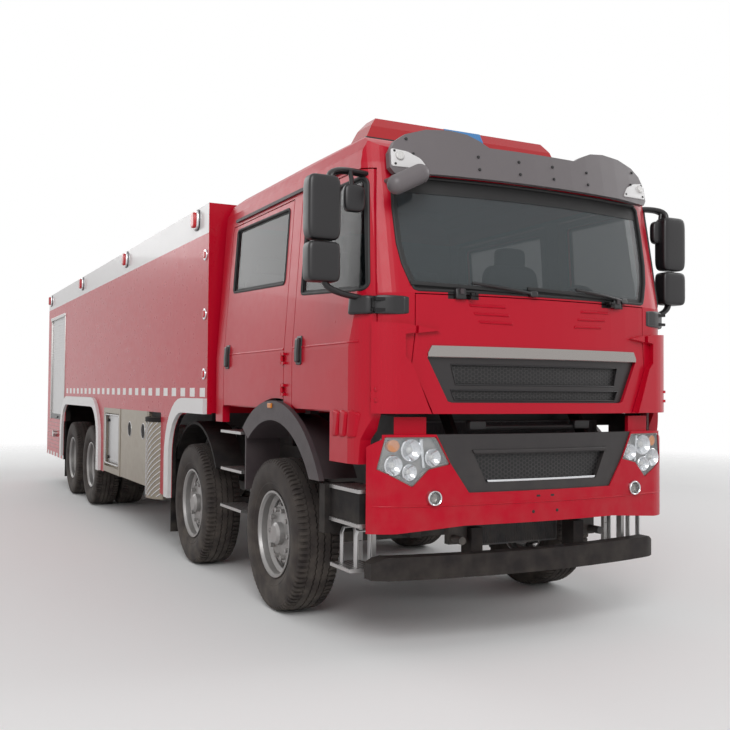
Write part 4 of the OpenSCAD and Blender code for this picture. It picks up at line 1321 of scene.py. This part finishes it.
    def flap(self) -> None:
        """Pressed ribs, grille mesh and its rims on the flap."""
        place = self.skin.front()
        ribs, mesh, rims = Form(), Form(), Form()
        for near, far, z in self.ribs:
            bar = [(near, z - 0.010), (far, z - 0.006), (far + 0.008, z + 0.010), (near + 0.008, z + 0.007)]
            ribs.slab(dense(eased(bar, 0.008)), 0.007, 0.006, place)
        ribs.mirrored().piece("flap_ribs", Finishes.PAINT, "flap")
        for half in self.flap_mesh:
            edge = dense(two_sided(half), 0.05)
            mesh.slab(edge, -0.0370, 0.0001, place, -0.0378)
            rims.rim(edge, place, 0.005, -0.022)
        mesh.piece("grille_mesh", Finishes.MESH, "flap")
        rims.piece("grille_rims", Finishes.SATIN, "flap")

    def bumper(self) -> None:
        """Mesh, foot strip, lip, crease and slots of the bumper."""
        place = self.skin.front()
        for name, finish, half, depth, bevel, start in (
            ("bumper_mesh", Finishes.MESH, ((0.417, 0.985), (0.497, 1.150)), -0.0272, 0.0001, -0.0282),
            ("bumper_mesh_strip", Finishes.CHROME, ((0.405, 0.986), (0.411, 1.000)), 0.002, 0.003, -0.028),
            ("bumper_mesh_lip", Finishes.BLACK, ((0.500, 1.155), (0.512, 1.178)), 0.012, 0.006, -0.002),
        ):
            edge = dense(two_sided(half), 0.05)
            Form().slab(edge, depth, bevel, place, start).piece(name, finish, "chassis")
        crease = np.linspace((-1.10, 0.859, 0.009), (1.10, 0.859, 0.009), 61)
        Form().tube(place(crease), 0.006, 8).piece("bumper_crease", Finishes.PAINT, "chassis")
        slots = Form()
        for y in (-0.066, 0.040):
            slots.slab(fine_box((y, 0.888), (y + 0.026, 0.900), 0.004), 0.0115, 0.001, place, 0.009)
        for y in (-0.09, 0.09):
            slots.slab(disc(y, 0.800, 0.010, 12), 0.0125, 0.002, place, 0.009)
        slots.piece("bumper_slots", Finishes.SEAL, "chassis")

    def radiator(self) -> None:
        """The radiators' faces, and the dark wall, bar, rests and side plates round them; the wall and side
        plates are painted shade, dark sheets that close the shaded gap between the radiators and the cab.
        """
        fins = Form()
        for x, half, low, high in ((1.190, 0.325, 0.57, 0.74), (1.090, 0.74, 1.10, 1.325)):
            fins.slab(box_outline((-half, low), (half, high), 0.01), 0.003, 0.002, end_wall(x))
        fins.piece("radiator_fins", Finishes.RADIATOR, "chassis")
        # painted shade: a dark wall above the radiators fills the gap under the cab, where there is only
        # shade
        dark = Form().slab(box_outline((-0.95, 1.296), (0.95, 1.384), 0.01), 0.012, 0.004, end_wall(1.015))
        bar_x = AXLE_1 + 1.330
        dark.tube(np.linspace((bar_x, -0.46, 1.302), (bar_x, 0.46, 1.302), 5), 0.016)
        for side in Side:
            rest = (AXLE_1 + 1.335, side.value * 0.40, 1.318)
            dark.grid(cushion(rest, (0.030, 0.060, 0.028), 0.2, 24))
            # painted shade: dark plates close the shaded gap beside the radiators
            dark.slab(box_outline((1.015, 1.200), (1.325, 1.382), 0.01), 0.006, 0.002, wall(side, 0.93))
        dark.piece("radiator_seal", Finishes.CHASSIS, "chassis")

    def build(self) -> None:
        """Makes every piece of the front."""
        self.glazing()
        self.wiping()
        self.visor()
        self.light_bar()
        self.flap()
        self.bumper()
        self.radiator()


@dataclass
class Lamps:
    """Headlamps with four reflectors each, an indicator and a clear lens; fog lamps below."""

    skin: CabSkin = field(default_factory=CabSkin)
    edge: Outline = (
        (-0.742, 1.256), (-1.045, 1.256), (-1.085, 1.072), (-0.885, 0.968), (-0.785, 1.068), (-0.655, 1.096),
    )  # fmt: skip
    lip: Outline = ((0.0, -0.044), (0.0, 0.002), (0.006, 0.003), (0.008, -0.030))
    bowls: Spots = (
        (-0.885, 1.180, 0.060), (-0.988, 1.092, 0.054), (-0.893, 1.052, 0.044), (-0.752, 1.135, 0.048),
    )  # fmt: skip
    trim: Outline = ((-0.815, 1.245), (-0.800, 1.075), (-0.815, 1.075), (-0.832, 1.245))
    fog: tuple[float, float, float] = (AXLE_1 + 1.440, -0.759, 0.905)
    fog_rim: Outline = (
        (-0.03, 0.048), (0.012, 0.048), (0.022, 0.045), (0.026, 0.041), (0.022, 0.036), (0.010, 0.034),
    )  # fmt: skip
    fog_dish: Outline = ((0.010, 0.034), (-0.006, 0.028), (-0.014, 0.017), (-0.016, 1e-4))
    fog_lens: Outline = ((0.008, 0.0335), (0.012, 0.025), (0.015, 0.012), (0.016, 1e-4))

    def behind(self, y: float, z: float, by: float) -> Array:
        """The point some way behind the skin."""
        return np.array([AXLE_1 + float(self.skin.front_x(np.array(y), np.array(z))) - by, y, z])

    def bowl(self, y: float, z: float, radius: float) -> Array:
        """A reflector: a paraboloid open to the front with a rolled edge, round an axis along X.

        Args:
            y: Its middle across the truck.
            z: Its middle's height.
            radius: Of its mouth.

        Returns:
            A grid of points.
        """
        k = np.linspace(0.0, 1.0, 8)
        profile = np.column_stack([radius * (0.55 * k**2 - 0.45), np.maximum(radius * k, 1e-4)])
        roll = [(0.11 * radius, radius * 1.05), (0.02 * radius, radius * 1.14)]
        return turned(np.concatenate([profile, roll]), 28) + self.behind(y, z, 0.012)

    def bulb(self, y: float, z: float, radius: float) -> Array:
        """A small dome in a reflector's middle.

        Args:
            y: Its middle across the truck.
            z: Its middle's height.
            radius: Of the dome.

        Returns:
            A grid of points.
        """
        k = np.linspace(0.0, math.pi / 2, 6)
        profile = np.column_stack([radius * np.sin(k), np.maximum(radius * np.cos(k), 1e-4)])
        return turned(profile, 16) + self.behind(y, z, 0.034)

    def headlamps(self) -> None:
        """Housings in the place of the plain lamps, with reflectors, bulbs, indicators, trim and lenses."""
        place = self.skin.front()
        edge = dense(eased(self.edge, 0.02), 0.02)
        back, bowls, bulbs = Form().slab(edge, -0.0385, 0.001, place, -0.044), Form(), Form()
        back.grid(place(np.stack([lifted(inset(edge, by), h) for by, h in self.lip])))
        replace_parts(back.mirrored().piece("headlamp_housings", Finishes.LAMP_BACK, "chassis"), "headlamps")
        for y, z, r in self.bowls:
            bowls.grid(self.bowl(y, z, r))
            bulbs.grid(self.bulb(y, z, 0.36 * r))
        bowls.mirrored().piece("headlamp_reflectors", Finishes.CHROME, "chassis")
        bulbs.mirrored().piece("headlamp_bulbs", Finishes.CLEAR_LENS, "chassis")
        amber = Form().slab(disc(-0.990, 1.205, 0.036, 24), -0.006, 0.006, place, -0.036)
        amber.mirrored().piece("indicators", Finishes.AMBER, "chassis")
        trim = Form().slab(dense(eased(self.trim, 0.005)), -0.012, 0.003, place, -0.036)
        trim.mirrored().piece("headlamp_trim", Finishes.CHROME, "chassis")
        glass = Form().slab(inset(edge, 0.004), 0.006, 0.006, place)
        glass.mirrored().piece("headlamp_lenses", Finishes.CLEAR, "chassis")

    def build(self) -> None:
        """Makes the headlamps, and the fog lamps' rims, dishes and lenses."""
        self.headlamps()
        for name, profile, finish in (
            ("rims", self.fog_rim, Finishes.CHROME),
            ("dishes", self.fog_dish, Finishes.LAMP_BACK),
            ("lenses", self.fog_lens, Finishes.CLEAR),
        ):
            form = Form().grid(turned(profile, 32) + np.array(self.fog))
            form.mirrored().piece(f"fog_lamp_{name}", finish, "chassis")


@dataclass
class CabSides:
    """Seals, handles, hinge covers, louvres, step straps and mirrors on the cab's sides."""

    skin: CabSkin = field(default_factory=CabSkin)
    front_window: Outline = (
        (0.390, 2.160), (1.262, 2.108), (1.290, 2.135), (1.245, 2.461), (1.203, 2.755), (1.183, 2.785),
        (0.410, 2.790), (0.390, 2.770),
    )  # fmt: skip
    rear_window: Outline = (
        (-0.995, 2.300), (0.060, 2.262), (0.080, 2.285), (0.080, 2.770), (0.060, 2.790), (-0.995, 2.800),
        (-1.012, 2.780), (-1.012, 2.320),
    )  # fmt: skip
    louvre_x: tuple[float, ...] = (0.965, 1.065, 1.165)
    strap_x: tuple[float, ...] = (0.930, 1.120)
    strap: Outline = (
        (1.10, 0.478), (1.10, 0.660), (1.09, 0.690), (1.02, 0.690), (1.01, 0.660), (1.01, 0.478),
    )  # fmt: skip
    reach_right: float = 1.500
    reach_left: float = 1.380
    heads: Outline = ((2.376, 2.748), (2.136, 2.366))
    heads_back: float = 1.200

    def windows(self, side: Side) -> None:
        """Seal and dark border of both side windows.

        Args:
            side: The cab's side.
        """
        place = self.skin.flank(side)
        for name, outline in (("front", self.front_window), ("rear", self.rear_window)):
            edge, body = dense(eased(outline, 0.03), 0.04), f"{name}_door_{side.word}"
            seal = Form().rim(edge, place, 0.011, -0.003)
            seal.piece(f"{name}_window_seal_{side.tag}", Finishes.SEAL, body)
            border = Form().frame(edge, 0.024, place, -0.0106)
            border.piece(f"{name}_window_border_{side.tag}", Finishes.SEAL, body)

    def handle(self, place: Place, x: float) -> Form:
        """A black pull: a dished plate with an upright grip.

        Args:
            place: The cab's side.
            x: Its middle along the truck.

        Returns:
            A form with the pull alone.
        """
        plate = fine_box((x - 0.045, 1.690), (x + 0.045, 1.880), 0.018)
        grip = fine_box((x - 0.020, 1.705), (x + 0.034, 1.865), 0.014)
        return Form().slab(plate, 0.008, 0.006, place).slab(grip, 0.030, 0.010, place)

    def panels(self, side: Side) -> None:
        """Handles, hinge covers, louvres, the pressed line on the doors and the lamp on the flare.

        Args:
            side: The cab's side.
        """
        place, tag = self.skin.flank(side), side.tag
        front, rear = f"front_door_{side.word}", f"rear_door_{side.word}"
        black = self.handle(place, 0.420)
        black.slab(fine_box((1.186, 1.964), (1.322, 2.072), 0.018, 0.02), 0.036, 0.014, place)
        black.piece(f"front_door_fittings_{tag}", Finishes.SATIN, front)
        self.handle(place, -1.035).piece(f"rear_door_handle_{tag}", Finishes.SATIN, rear)
        cover = fine_box((1.338, 1.964), (1.402, 2.072), 0.016, 0.012)
        Form().slab(cover, 0.034, 0.012, place).piece(f"hinge_cover_{tag}", Finishes.SATIN, "cab")
        louvres = Form()
        for x in self.louvre_x:
            bar = eased([(x, 1.245), (x + 0.066, 1.252), (x + 0.096, 1.392), (x + 0.010, 1.410)], 0.016)
            louvres.slab(dense(bar, 0.02), 0.016, 0.014, place)
        louvres.piece(f"door_louvres_{tag}", Finishes.PAINT, front)
        lines = (("front", 0.312, 1.240, 1.806, front), ("rear", -1.120, 0.142, 1.803, rear))
        for name, low, high, z, body in lines:
            line = place(np.linspace((low, z, -0.003), (high, z, -0.003), 25))
            Form().tube(line, 0.008, 8).piece(f"{name}_door_line_{tag}", Finishes.PAINT, body)
        mark = Form().slab(fine_box((-0.035, 1.398), (0.035, 1.432), 0.008), 0.046, 0.004, place, 0.030)
        mark.piece(f"flare_marker_{tag}", Finishes.AMBER, "cab")

    def brackets(self) -> None:
        """Bent straps that stand on the lowest step on each side."""
        straps, section = Form(), box_outline((-0.005, -0.018), (0.005, 0.018), 0.003)
        for x in self.strap_x:
            path = [(AXLE_1 + x, -y, z) for y, z in self.strap]
            straps.grid(swept(path, section, (1.0, 0.0, 0.0)), ends=True)
        straps.mirrored().piece("step_straps", Finishes.SHUTTER, "chassis")

    def mirrors(self, side: Side) -> None:
        """Two rounded heads on curved arms, with a small kerb mirror inboard and glass on the heads' backs.

        Args:
            side: The cab's side.
        """
        reach = self.reach_right if side is Side.RIGHT else self.reach_left
        body = f"front_door_{side.word}"
        heads, glass = Form(), Form()

        def at(x: float, out: float, z: float) -> Array:
            """A point from axle 1, the truck's middle and the ground."""
            return np.array([AXLE_1 + x, side.value * out, z])

        def back(p: Array) -> Array:
            """A place on the heads' backs: outwards, up and height backwards."""
            out, z, height = np.moveaxis(p, -1, 0)
            return np.stack([AXLE_1 + self.heads_back - height, side.value * out, z], axis=-1)

        for low, high in self.heads:
            middle, half = at(1.252, reach - 0.101, (low + high) / 2), (0.056, 0.101, (high - low) / 2)
            heads.grid(cushion(middle, half, 0.3, 48))
            pane = box_outline((reach - 0.184, low + 0.018), (reach - 0.018, high - 0.018), 0.03)
            glass.slab(pane, 0.003, 0.002, back)
        upper = (at(1.250, reach - 0.16, 2.715), at(1.250, reach - 0.10, 2.815), at(1.170, 1.085, 2.806))
        lower = (at(1.252, reach - 0.12, 2.150), at(1.252, reach - 0.12, 2.085), at(1.246, 1.150, 2.062))
        for bend, thick in ((upper, (0.020, 0.034)), (lower, (0.018, 0.026))):
            path = curve(*bend, np.linspace(0.0, 1.0, 13)[:, None])
            heads.grid(swept(path, circle(1.0, 16) * np.array(thick), (1.0, 0.0, 0.0)), ends=True)
        heads.grid(cushion(at(1.235, 1.190, 2.640), (0.030, 0.068, 0.080), 0.5, 32))
        heads.tube([at(1.235, 1.200, 2.70), at(1.235, 1.205, 2.75), at(1.235, 1.215, 2.80)], 0.014)
        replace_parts(heads.piece(f"mirror_heads_{side.tag}", Finishes.SATIN, body), f"mirror_{side.tag}")
        glass.piece(f"mirror_glass_{side.tag}", Finishes.MIRROR, body)

    def build(self) -> None:
        """Makes both sides."""
        self.brackets()
        for side in Side:
            self.windows(side)
            self.panels(side)
            self.mirrors(side)


@dataclass
class Interior:
    """Padded seats, dash, bench and steering wheel in the place of plain blocks."""

    seat_y: float = 0.64
    dash_side: Outline = (
        (1.240, 1.452), (1.060, 1.452), (1.010, 1.80), (0.985, 1.96), (1.030, 2.070), (1.240, 2.080),
    )  # fmt: skip
    dash_half: float = 0.9
    wheel_at: tuple[float, float, float] = (AXLE_1 + 0.960, 0.640, 2.060)
    wheel_up: tuple[float, float, float] = (0.4330127, 0.0, SIN_60)
    wheel_radius: float = 0.215
    spokes: tuple[float, ...] = (0.5, math.pi - 0.5, 1.5 * math.pi)

    def pads(self) -> None:
        """Front seats and rear bench places, each a cushion, a back and a headrest."""
        rows = [("front_seat_right", 0.52, -self.seat_y, 0.25), ("front_seat_left", 0.52, self.seat_y, 0.25)]
        rows += [(f"rear_seat_{k + 1}", -0.92, -0.75 + 0.5 * k, 0.235) for k in range(4)]
        for name, x, y, half in rows:
            at, back = AXLE_1 + x, AXLE_1 + x - 0.275
            form = Form().grid(cushion((at, y, 1.790), (0.26, half, 0.075)))
            form.grid(cushion((back, y, 2.150), (0.062, half * 0.96, 0.34)))
            form.grid(cushion((back - 0.005, y, 2.540), (0.045, 0.13, 0.085), 0.5))
            form.piece(name, Finishes.CLOTH, "cab")

    def dash(self) -> None:
        """The dash with its ends tucked in and its hood, and the seats' bases."""
        side = eased(self.dash_side, 0.04)
        end = self.dash_half
        y = np.concatenate([[-end, 0.01 - end], np.linspace(-0.8, 0.8, 9), [end - 0.01, end]])
        tuck = np.where(np.abs(y) < end, 1.0, 0.97)[:, None, None]
        dash = Form().grid(crossways(side.mean(0) + (side - side.mean(0)) * tuck, y), ends=True)
        dash.grid(cushion((AXLE_1 + 1.06, self.seat_y, 2.085), (0.10, 0.24, 0.05), 0.6))
        for seat in (-self.seat_y, self.seat_y):
            dash.grid(cushion((AXLE_1 + 0.50, seat, 1.58), (0.22, 0.20, 0.13), 0.15))
        dash.grid(cushion((AXLE_1 - 0.93, 0.0, 1.58), (0.23, 0.98, 0.13), 0.1))
        dash.grid(cushion((AXLE_1 - 1.235, 0.0, 2.10), (0.025, 0.98, 0.36), 0.1))
        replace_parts(dash.piece("dash_and_bases", Finishes.DASH, "cab"), "cab_interior")

    def steering(self) -> None:
        """The wheel with its spokes, hub and column."""
        hub, up, across = np.array(self.wheel_at), np.array(self.wheel_up), np.array([0.0, 1.0, 0.0])
        axis = np.cross(up, across)
        t = angles(40)[:, None]
        ring = hub + self.wheel_radius * (np.cos(t) * up + np.sin(t) * across)
        wheel = Form().grid(swept(ring, circle(0.016), axis, closed=True), round_=True)
        for a in self.spokes:
            tip = hub + 0.205 * (math.cos(a + math.pi / 2) * up + math.sin(a + math.pi / 2) * across)
            wheel.tube([hub, (hub + tip) / 2, tip], 0.013, 8)
        wheel.grid(cushion(hub, (0.05, 0.06, 0.05), 0.8))
        wheel.tube([hub, hub - axis * 0.13, hub - axis * 0.26], 0.022)
        wheel.piece("steering_wheel", Finishes.SATIN, "cab")

    def build(self) -> None:
        """Makes the pads, the dash with the bases, and the wheel."""
        self.pads()
        self.dash()
        self.steering()


@dataclass
class BodySides:
    """Strobes, lamps, covers, shutters and fittings on the tank body and pump module."""

    half_width: float = 1.230
    strobe_x: tuple[float, ...] = (-1.749, -4.476, -7.203, -10.038)
    strobe_z: tuple[float, float] = (2.902, 3.083)
    edge_lamp_x: float = -1.498
    edge_lamp_z: tuple[float, ...] = (2.660, 2.160, 1.655)
    rear_x: float = -10.300
    grip_x: tuple[float, ...] = (-4.190, -3.580)
    grip_z: float = 1.090
    catches: Outline = ((-5.435, 0.705), (-5.435, 1.150), (-4.825, 0.705), (-4.825, 1.150))
    guard_x: float = -3.120
    guard_y: float = 0.972
    guard_r: float = 0.330
    guard_z: tuple[float, float] = (0.475, 1.205)

    def strobes(self, base: Form, bezel: Form, lens: Form) -> None:
        """Adds the strobes along the boards.

        Args:
            base: Takes their rubber feet.
            bezel: Takes their bright rings.
            lens: Takes their domes.
        """
        place, (low, high) = wall(Side.RIGHT, self.half_width), self.strobe_z
        for x in self.strobe_x:
            for form, half, tuck, radius, depth, bevel, start in (
                (base, 0.075, 0.0, 0.05, 0.008, 0.003, 0.0),
                (bezel, 0.066, 0.010, 0.046, 0.026, 0.010, 0.004),
                (lens, 0.053, 0.022, 0.042, 0.050, 0.014, 0.018),
            ):
                edge = box_outline((x - half, low + tuck), (x + half, high - tuck), radius)
                form.slab(edge, depth, bevel, place, start)

    def lamps(self) -> None:
        """Strobes, lamps at the front edge and the rear lamps, in the place of plain ones."""
        place, back = wall(Side.RIGHT, self.half_width), end_wall(self.rear_x, -1.0)
        base, bezel, lens = Form(), Form(), Form()
        self.strobes(base, bezel, lens)
        for z in self.edge_lamp_z:
            bezel.slab(disc(self.edge_lamp_x, z, 0.048, 28), 0.010, 0.006, place)
            lens.slab(disc(self.edge_lamp_x, z, 0.031, 24), 0.018, 0.006, place, 0.008)
        base.slab(box_outline((0.965, 0.752), (1.195, 0.908), 0.015), 0.012, 0.004, back)
        base.slab(box_outline((1.010, 1.050), (1.150, 1.310), 0.02), 0.010, 0.004, back)
        lens.slab(disc(1.080, 1.240, 0.055, 28), 0.030, 0.010, back, 0.006)
        lens.slab(box_outline((1.085, 0.765), (1.185, 0.895), 0.01), 0.030, 0.008, back, 0.008)
        amber = Form().slab(disc(1.080, 1.120, 0.055, 28), 0.030, 0.010, back, 0.006)
        clear = Form().slab(box_outline((0.975, 0.765), (1.078, 0.895), 0.01), 0.030, 0.008, back, 0.008)
        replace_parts(lens.mirrored().piece("body_lamp_lenses", Finishes.RED_LENS, "chassis"), "marker_lamps")
        base.mirrored().piece("body_lamp_bases", Finishes.SATIN, "chassis")
        bezel.mirrored().piece("body_lamp_bezels", Finishes.CHROME, "chassis")
        amber.mirrored().piece("rear_indicators", Finishes.AMBER, "chassis")
        clear.mirrored().piece("reversing_lamps", Finishes.CLEAR_LENS, "chassis")

    def guard(self, p: Array) -> Array:
        """A place on the round tread guard: along it, up and outwards.

        Args:
            p: Points as (x from the guard's middle, z, height).

        Returns:
            The points in the truck's frame.
        """
        x, z, height = np.moveaxis(p, -1, 0)
        bow = np.sqrt(np.maximum(self.guard_r**2 - x**2, 1e-6))
        return np.stack([AXLE_1 + self.guard_x + x, -(self.guard_y + bow + height), z], axis=-1)

    def covers(self) -> None:
        """Grips in the cover, the recess panel and its catches, ribs and cap on the tread guard."""
        place = wall(Side.RIGHT, self.half_width)
        dark, steel, ribs = Form(), Form(), Form()
        for x in self.grip_x:
            dark.slab(disc(x, self.grip_z, 0.075, 32), 0.008, 0.004, place)
            steel.rim(disc(x, self.grip_z, 0.080, 32), place, 0.005, 0.004)
        steel.slab(box_outline((-5.500, 0.640), (-4.760, 1.215), 0.02), -0.030, 0.004, place, -0.040)
        steel.rim(fine_box((-5.505, 0.635), (-4.755, 1.220), 0.025), place, 0.009, 0.0)
        for x, z in self.catches:
            catch = box_outline((x - 0.032, z - 0.018), (x + 0.032, z + 0.018), 0.008)
            dark.slab(catch, -0.012, 0.005, place, -0.032)
        low, high = self.guard_z
        for z in np.arange(0.10, 1.25, 0.055):
            line = np.linspace((-0.225, z, 0.0005), (0.225, z + 0.36, 0.0005), 41)
            line = line[(line[:, 1] > low) & (line[:, 1] < high)]
            if len(line) > 3:
                ribs.tube(self.guard(line), 0.0055, 8)
        cap = fine_box((-0.232, high), (0.232, high + 0.047), 0.012, 0.02)
        dark.slab(cap, 0.014, 0.006, self.guard, -0.004)
        dark.mirrored().piece("cover_fittings", Finishes.GUARD, "chassis")
        steel.mirrored().piece("cover_rims", Finishes.SHUTTER, "chassis")
        ribs.mirrored().piece("guard_ribs", Finishes.CHROME, "chassis")

    def shutters(self) -> None:
        """Frame, foot bar and grip of each shutter."""
        alloy, dark = Form(), Form()
        side, back = wall(Side.RIGHT, self.half_width), end_wall(self.rear_x, -1.0)
        for place, low, high in ((side, -9.925, -8.640), (back, -0.600, 0.600)):
            middle = (low + high) / 2
            for a, b in ((low - 0.03, low + 0.012), (high - 0.012, high + 0.03)):
                alloy.slab(box_outline((a, 1.04), (b, 2.665), 0.006), 0.010, 0.004, place, -0.02)
            head = box_outline((low - 0.03, 2.640), (high + 0.03, 2.690), 0.01)
            foot = box_outline((low + 0.012, 1.052), (high - 0.012, 1.130), 0.008)
            grip = box_outline((middle - 0.11, 1.072), (middle + 0.11, 1.100), 0.012)
            alloy.slab(head, 0.022, 0.008, place, -0.02)
            dark.slab(foot, 0.004, 0.004, place, -0.02).slab(grip, 0.022, 0.008, place)
        alloy.mirrored().piece("shutter_frames", Finishes.STEEL, "chassis")
        dark.mirrored().piece("shutter_foot_bars", Finishes.SATIN, "chassis")

    def build(self) -> None:
        """Makes both sides and the rear."""
        self.lamps()
        self.covers()
        self.shutters()


@dataclass
class Roof:
    """Lids, rails and monitor fittings on top of the body."""

    lid_x: tuple[float, ...] = (AXLE_1 - 3.300, AXLE_1 - 5.600)
    lid_z: float = 2.970
    lid_bolts: float = 0.24
    rail_x: tuple[float, ...] = (AXLE_1 - 10.2, AXLE_1 - 6.0, AXLE_1 - 1.5)
    rail_y: float = 1.15
    rail_z: float = 3.086
    monitor: tuple[float, float, float] = (AXLE_1 - 9.000, 0.0, 3.380)
    bands: Outline = ((0.50, 0.078), (0.62, 0.068), (1.05, 0.062), (1.19, 0.080))
    hand_wheel: float = 0.09
    hand_wheel_y: float = -0.175

    def deck(self) -> None:
        """Bolts and handles on the lids, and rails along the boards."""
        bars, z = Form(), self.lid_z
        for x in self.lid_x:
            for a in angles(6):
                bolt = (x + self.lid_bolts * math.cos(a), self.lid_bolts * math.sin(a), z + 0.012)
                bars.grid(cushion(bolt, (0.03, 0.03, 0.02), 0.4, 16))
            bow = ((-0.12, 0.0), (-0.12, 0.05), (0.0, 0.06), (0.12, 0.05), (0.12, 0.0))
            bars.tube([(x, y, z + rise) for y, rise in bow], 0.012)
        for y in (-self.rail_y, self.rail_y):
            bars.tube([(x, y, self.rail_z) for x in self.rail_x], 0.010)
        bars.piece("roof_fittings", Finishes.STEEL, "chassis")

    def water_gun(self) -> None:
        """Bands round the monitor's barrel and the hand wheel at its side."""
        x, y, z = self.monitor
        gun = Form()
        for at, r in self.bands:
            half = [(-0.016, r - 0.02), (-0.016, r - 0.003), (-0.012, r)]
            band = half + [(-a, b) for a, b in reversed(half)]
            gun.grid(turned(band, 32) + np.array([x + at, y, z]))
        gun.piece("monitor_bands", Finishes.STEEL, "monitor_gun")
        hub = np.array([x, self.hand_wheel_y, z - 0.02])

        def rim(a: Array | float) -> Array:
            """The wheel's rim at an angle."""
            return hub + self.hand_wheel * np.stack([np.cos(a), np.zeros_like(a), np.sin(a)], -1)

        ring = swept(rim(angles(28)), circle(0.008, 8), (0.0, 1.0, 0.0), closed=True)
        wheel = Form().grid(ring, round_=True)
        for a in (0.3, 2.4, 4.5):
            wheel.tube([hub, rim(a)], 0.006, 8)
        wheel.tube([(x, -0.130, z - 0.02), (x, -0.18, z - 0.02)], 0.014)
        wheel.piece("monitor_hand_wheel", Finishes.SATIN, "monitor_head")

    def build(self) -> None:
        """Makes the deck's fittings and the monitor's."""
        self.deck()
        self.water_gun()


@dataclass
class Studio:
    """Camera at the photograph's angle, pale floor and soft light."""

    focal: float = 922.91
    frame: float = 730.0
    sensor: float = 36.0
    yaw: float = 27.024
    pitch: float = 1.694
    roll: float = 0.447
    eye: tuple[float, float, float] = (10.4563, -3.5507, 1.5125)
    target: tuple[float, float, float] = (1.5, 0.0, 1.4)
    floor_half: float = 60.0
    sky: float = 0.42
    lamps: tuple[tuple[str, tuple[float, float, float], float, float], ...] = (
        ("key", (15.0, -6.0, 9.0), 7.0, 900.0),
        ("fill", (6.0, 13.0, 8.0), 8.0, 450.0),
        ("rear", (-14.0, -6.0, 9.0), 8.0, 400.0),
    )

    def add(
        self, name: str, data: bpy.types.ID, axes: Sequence[Array], at: Sequence[float]
    ) -> bpy.types.Object:
        """Adds an object to the scene.

        Args:
            name: Its name.
            data: What it shows.
            axes: Its own x, y and z.
            at: Its origin.

        Returns:
            The object.
        """
        obj = bpy.data.objects.new(name, data)
        bpy.context.scene.collection.objects.link(obj)
        matrix = np.eye(4)
        matrix[:3] = np.column_stack([*axes, at])
        obj.matrix_world = Matrix(matrix.tolist())
        return obj

    def camera(self) -> None:
        """Sets the camera: its axes are right, up and back, turned by yaw, pitch and roll."""
        yaw, pitch, roll = (math.radians(a) for a in (self.yaw, self.pitch, self.roll))
        level = math.cos(pitch)
        ahead = np.array([-math.cos(yaw) * level, math.sin(yaw) * level, math.sin(pitch)])
        right = np.cross(ahead, [0.0, 0.0, 1.0])
        right /= np.linalg.norm(right)
        up = np.cross(right, ahead)
        across = math.cos(roll) * right + math.sin(roll) * up
        upright = math.cos(roll) * up - math.sin(roll) * right
        data = bpy.data.cameras.new("camera")
        data.sensor_width = self.sensor
        data.lens = self.focal / self.frame * self.sensor
        data.clip_end = 200.0
        bpy.context.scene.camera = self.add("camera", data, (across, upright, -ahead), self.eye)

    def lamp(self, name: str, at: Sequence[float], size: float, power: float) -> None:
        """Adds one soft square lamp that looks at the target.

        Args:
            name: Its name.
            at: Its middle.
            size: Its edge.
            power: Its watts.
        """
        data = bpy.data.lights.new(name, "AREA")
        data.size, data.energy = size, power
        back = np.asarray(at, float) - np.array(self.target)
        back /= np.linalg.norm(back)
        side = np.cross([0.0, 0.0, 1.0], back)
        side /= np.linalg.norm(side)
        self.add(name, data, (side, np.cross(back, side), back), at)

    def world(self) -> None:
        """White for the eye, for gloss and through glass, and softer for diffuse light."""
        world = bpy.data.worlds.new("studio")
        bpy.context.scene.world = world
        world.use_nodes = True
        tree = world.node_tree
        tree.nodes.clear()
        path = tree.nodes.new("ShaderNodeLightPath")
        seen = path.outputs["Is Camera Ray"]
        for ray in ("Is Glossy Ray", "Is Transmission Ray"):
            either = tree.nodes.new("ShaderNodeMath")
            either.operation = "MAXIMUM"
            tree.links.new(seen, either.inputs[0])
            tree.links.new(path.outputs[ray], either.inputs[1])
            seen = either.outputs[0]
        level = tree.nodes.new("ShaderNodeMapRange")
        level.inputs["To Min"].default_value = self.sky
        level.inputs["To Max"].default_value = 1.0
        tree.links.new(seen, level.inputs["Value"])
        back = tree.nodes.new("ShaderNodeBackground")
        back.inputs["Color"].default_value = (1.0, 1.0, 1.0, 1.0)
        tree.links.new(level.outputs[0], back.inputs["Strength"])
        out = tree.nodes.new("ShaderNodeOutputWorld")
        tree.links.new(back.outputs[0], out.inputs[0])

    def floor(self) -> None:
        """Lays the floor, which isn't part of the truck."""
        mesh = bpy.data.meshes.new("floor")
        r = self.floor_half
        mesh.from_pydata([(-r, -r, 0.0), (r, -r, 0.0), (r, r, 0.0), (-r, r, 0.0)], [], [(0, 1, 2, 3)])
        floor = self.add("floor", mesh, np.eye(3), (0.0, 0.0, 0.0))
        Finishes.FLOOR.dress(floor)

    def build(self) -> None:
        """Sets the camera, light and floor."""
        self.camera()
        self.world()
        for name, at, size, power in self.lamps:
            self.lamp(name, at, size, power)
        self.floor()
        bpy.context.scene.view_settings.view_transform = "Standard"


def dress_nodes(nodes: dict[str, bpy.types.Object]) -> None:
    """Gives every CAD node the finish whose name it begins with, the longest match first.

    Args:
        nodes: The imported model's nodes by name.
    """
    stems = sorted(NODE_FINISH, key=len, reverse=True)
    for name, obj in nodes.items():
        NODE_FINISH[next(stem for stem in stems if name.startswith(stem))].dress(obj)


def main() -> None:
    """Builds the truck's looks in order."""
    logging.basicConfig(level=logging.INFO, format="%(message)s")
    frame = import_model()
    dress_nodes(frame["nodes"])
    Studio().build()
    for part in (Wheels(), CabFront(), Lamps(), CabSides(), Interior(), BodySides(), Roof()):
        part.build()


if __name__ == "__main__":
    main()
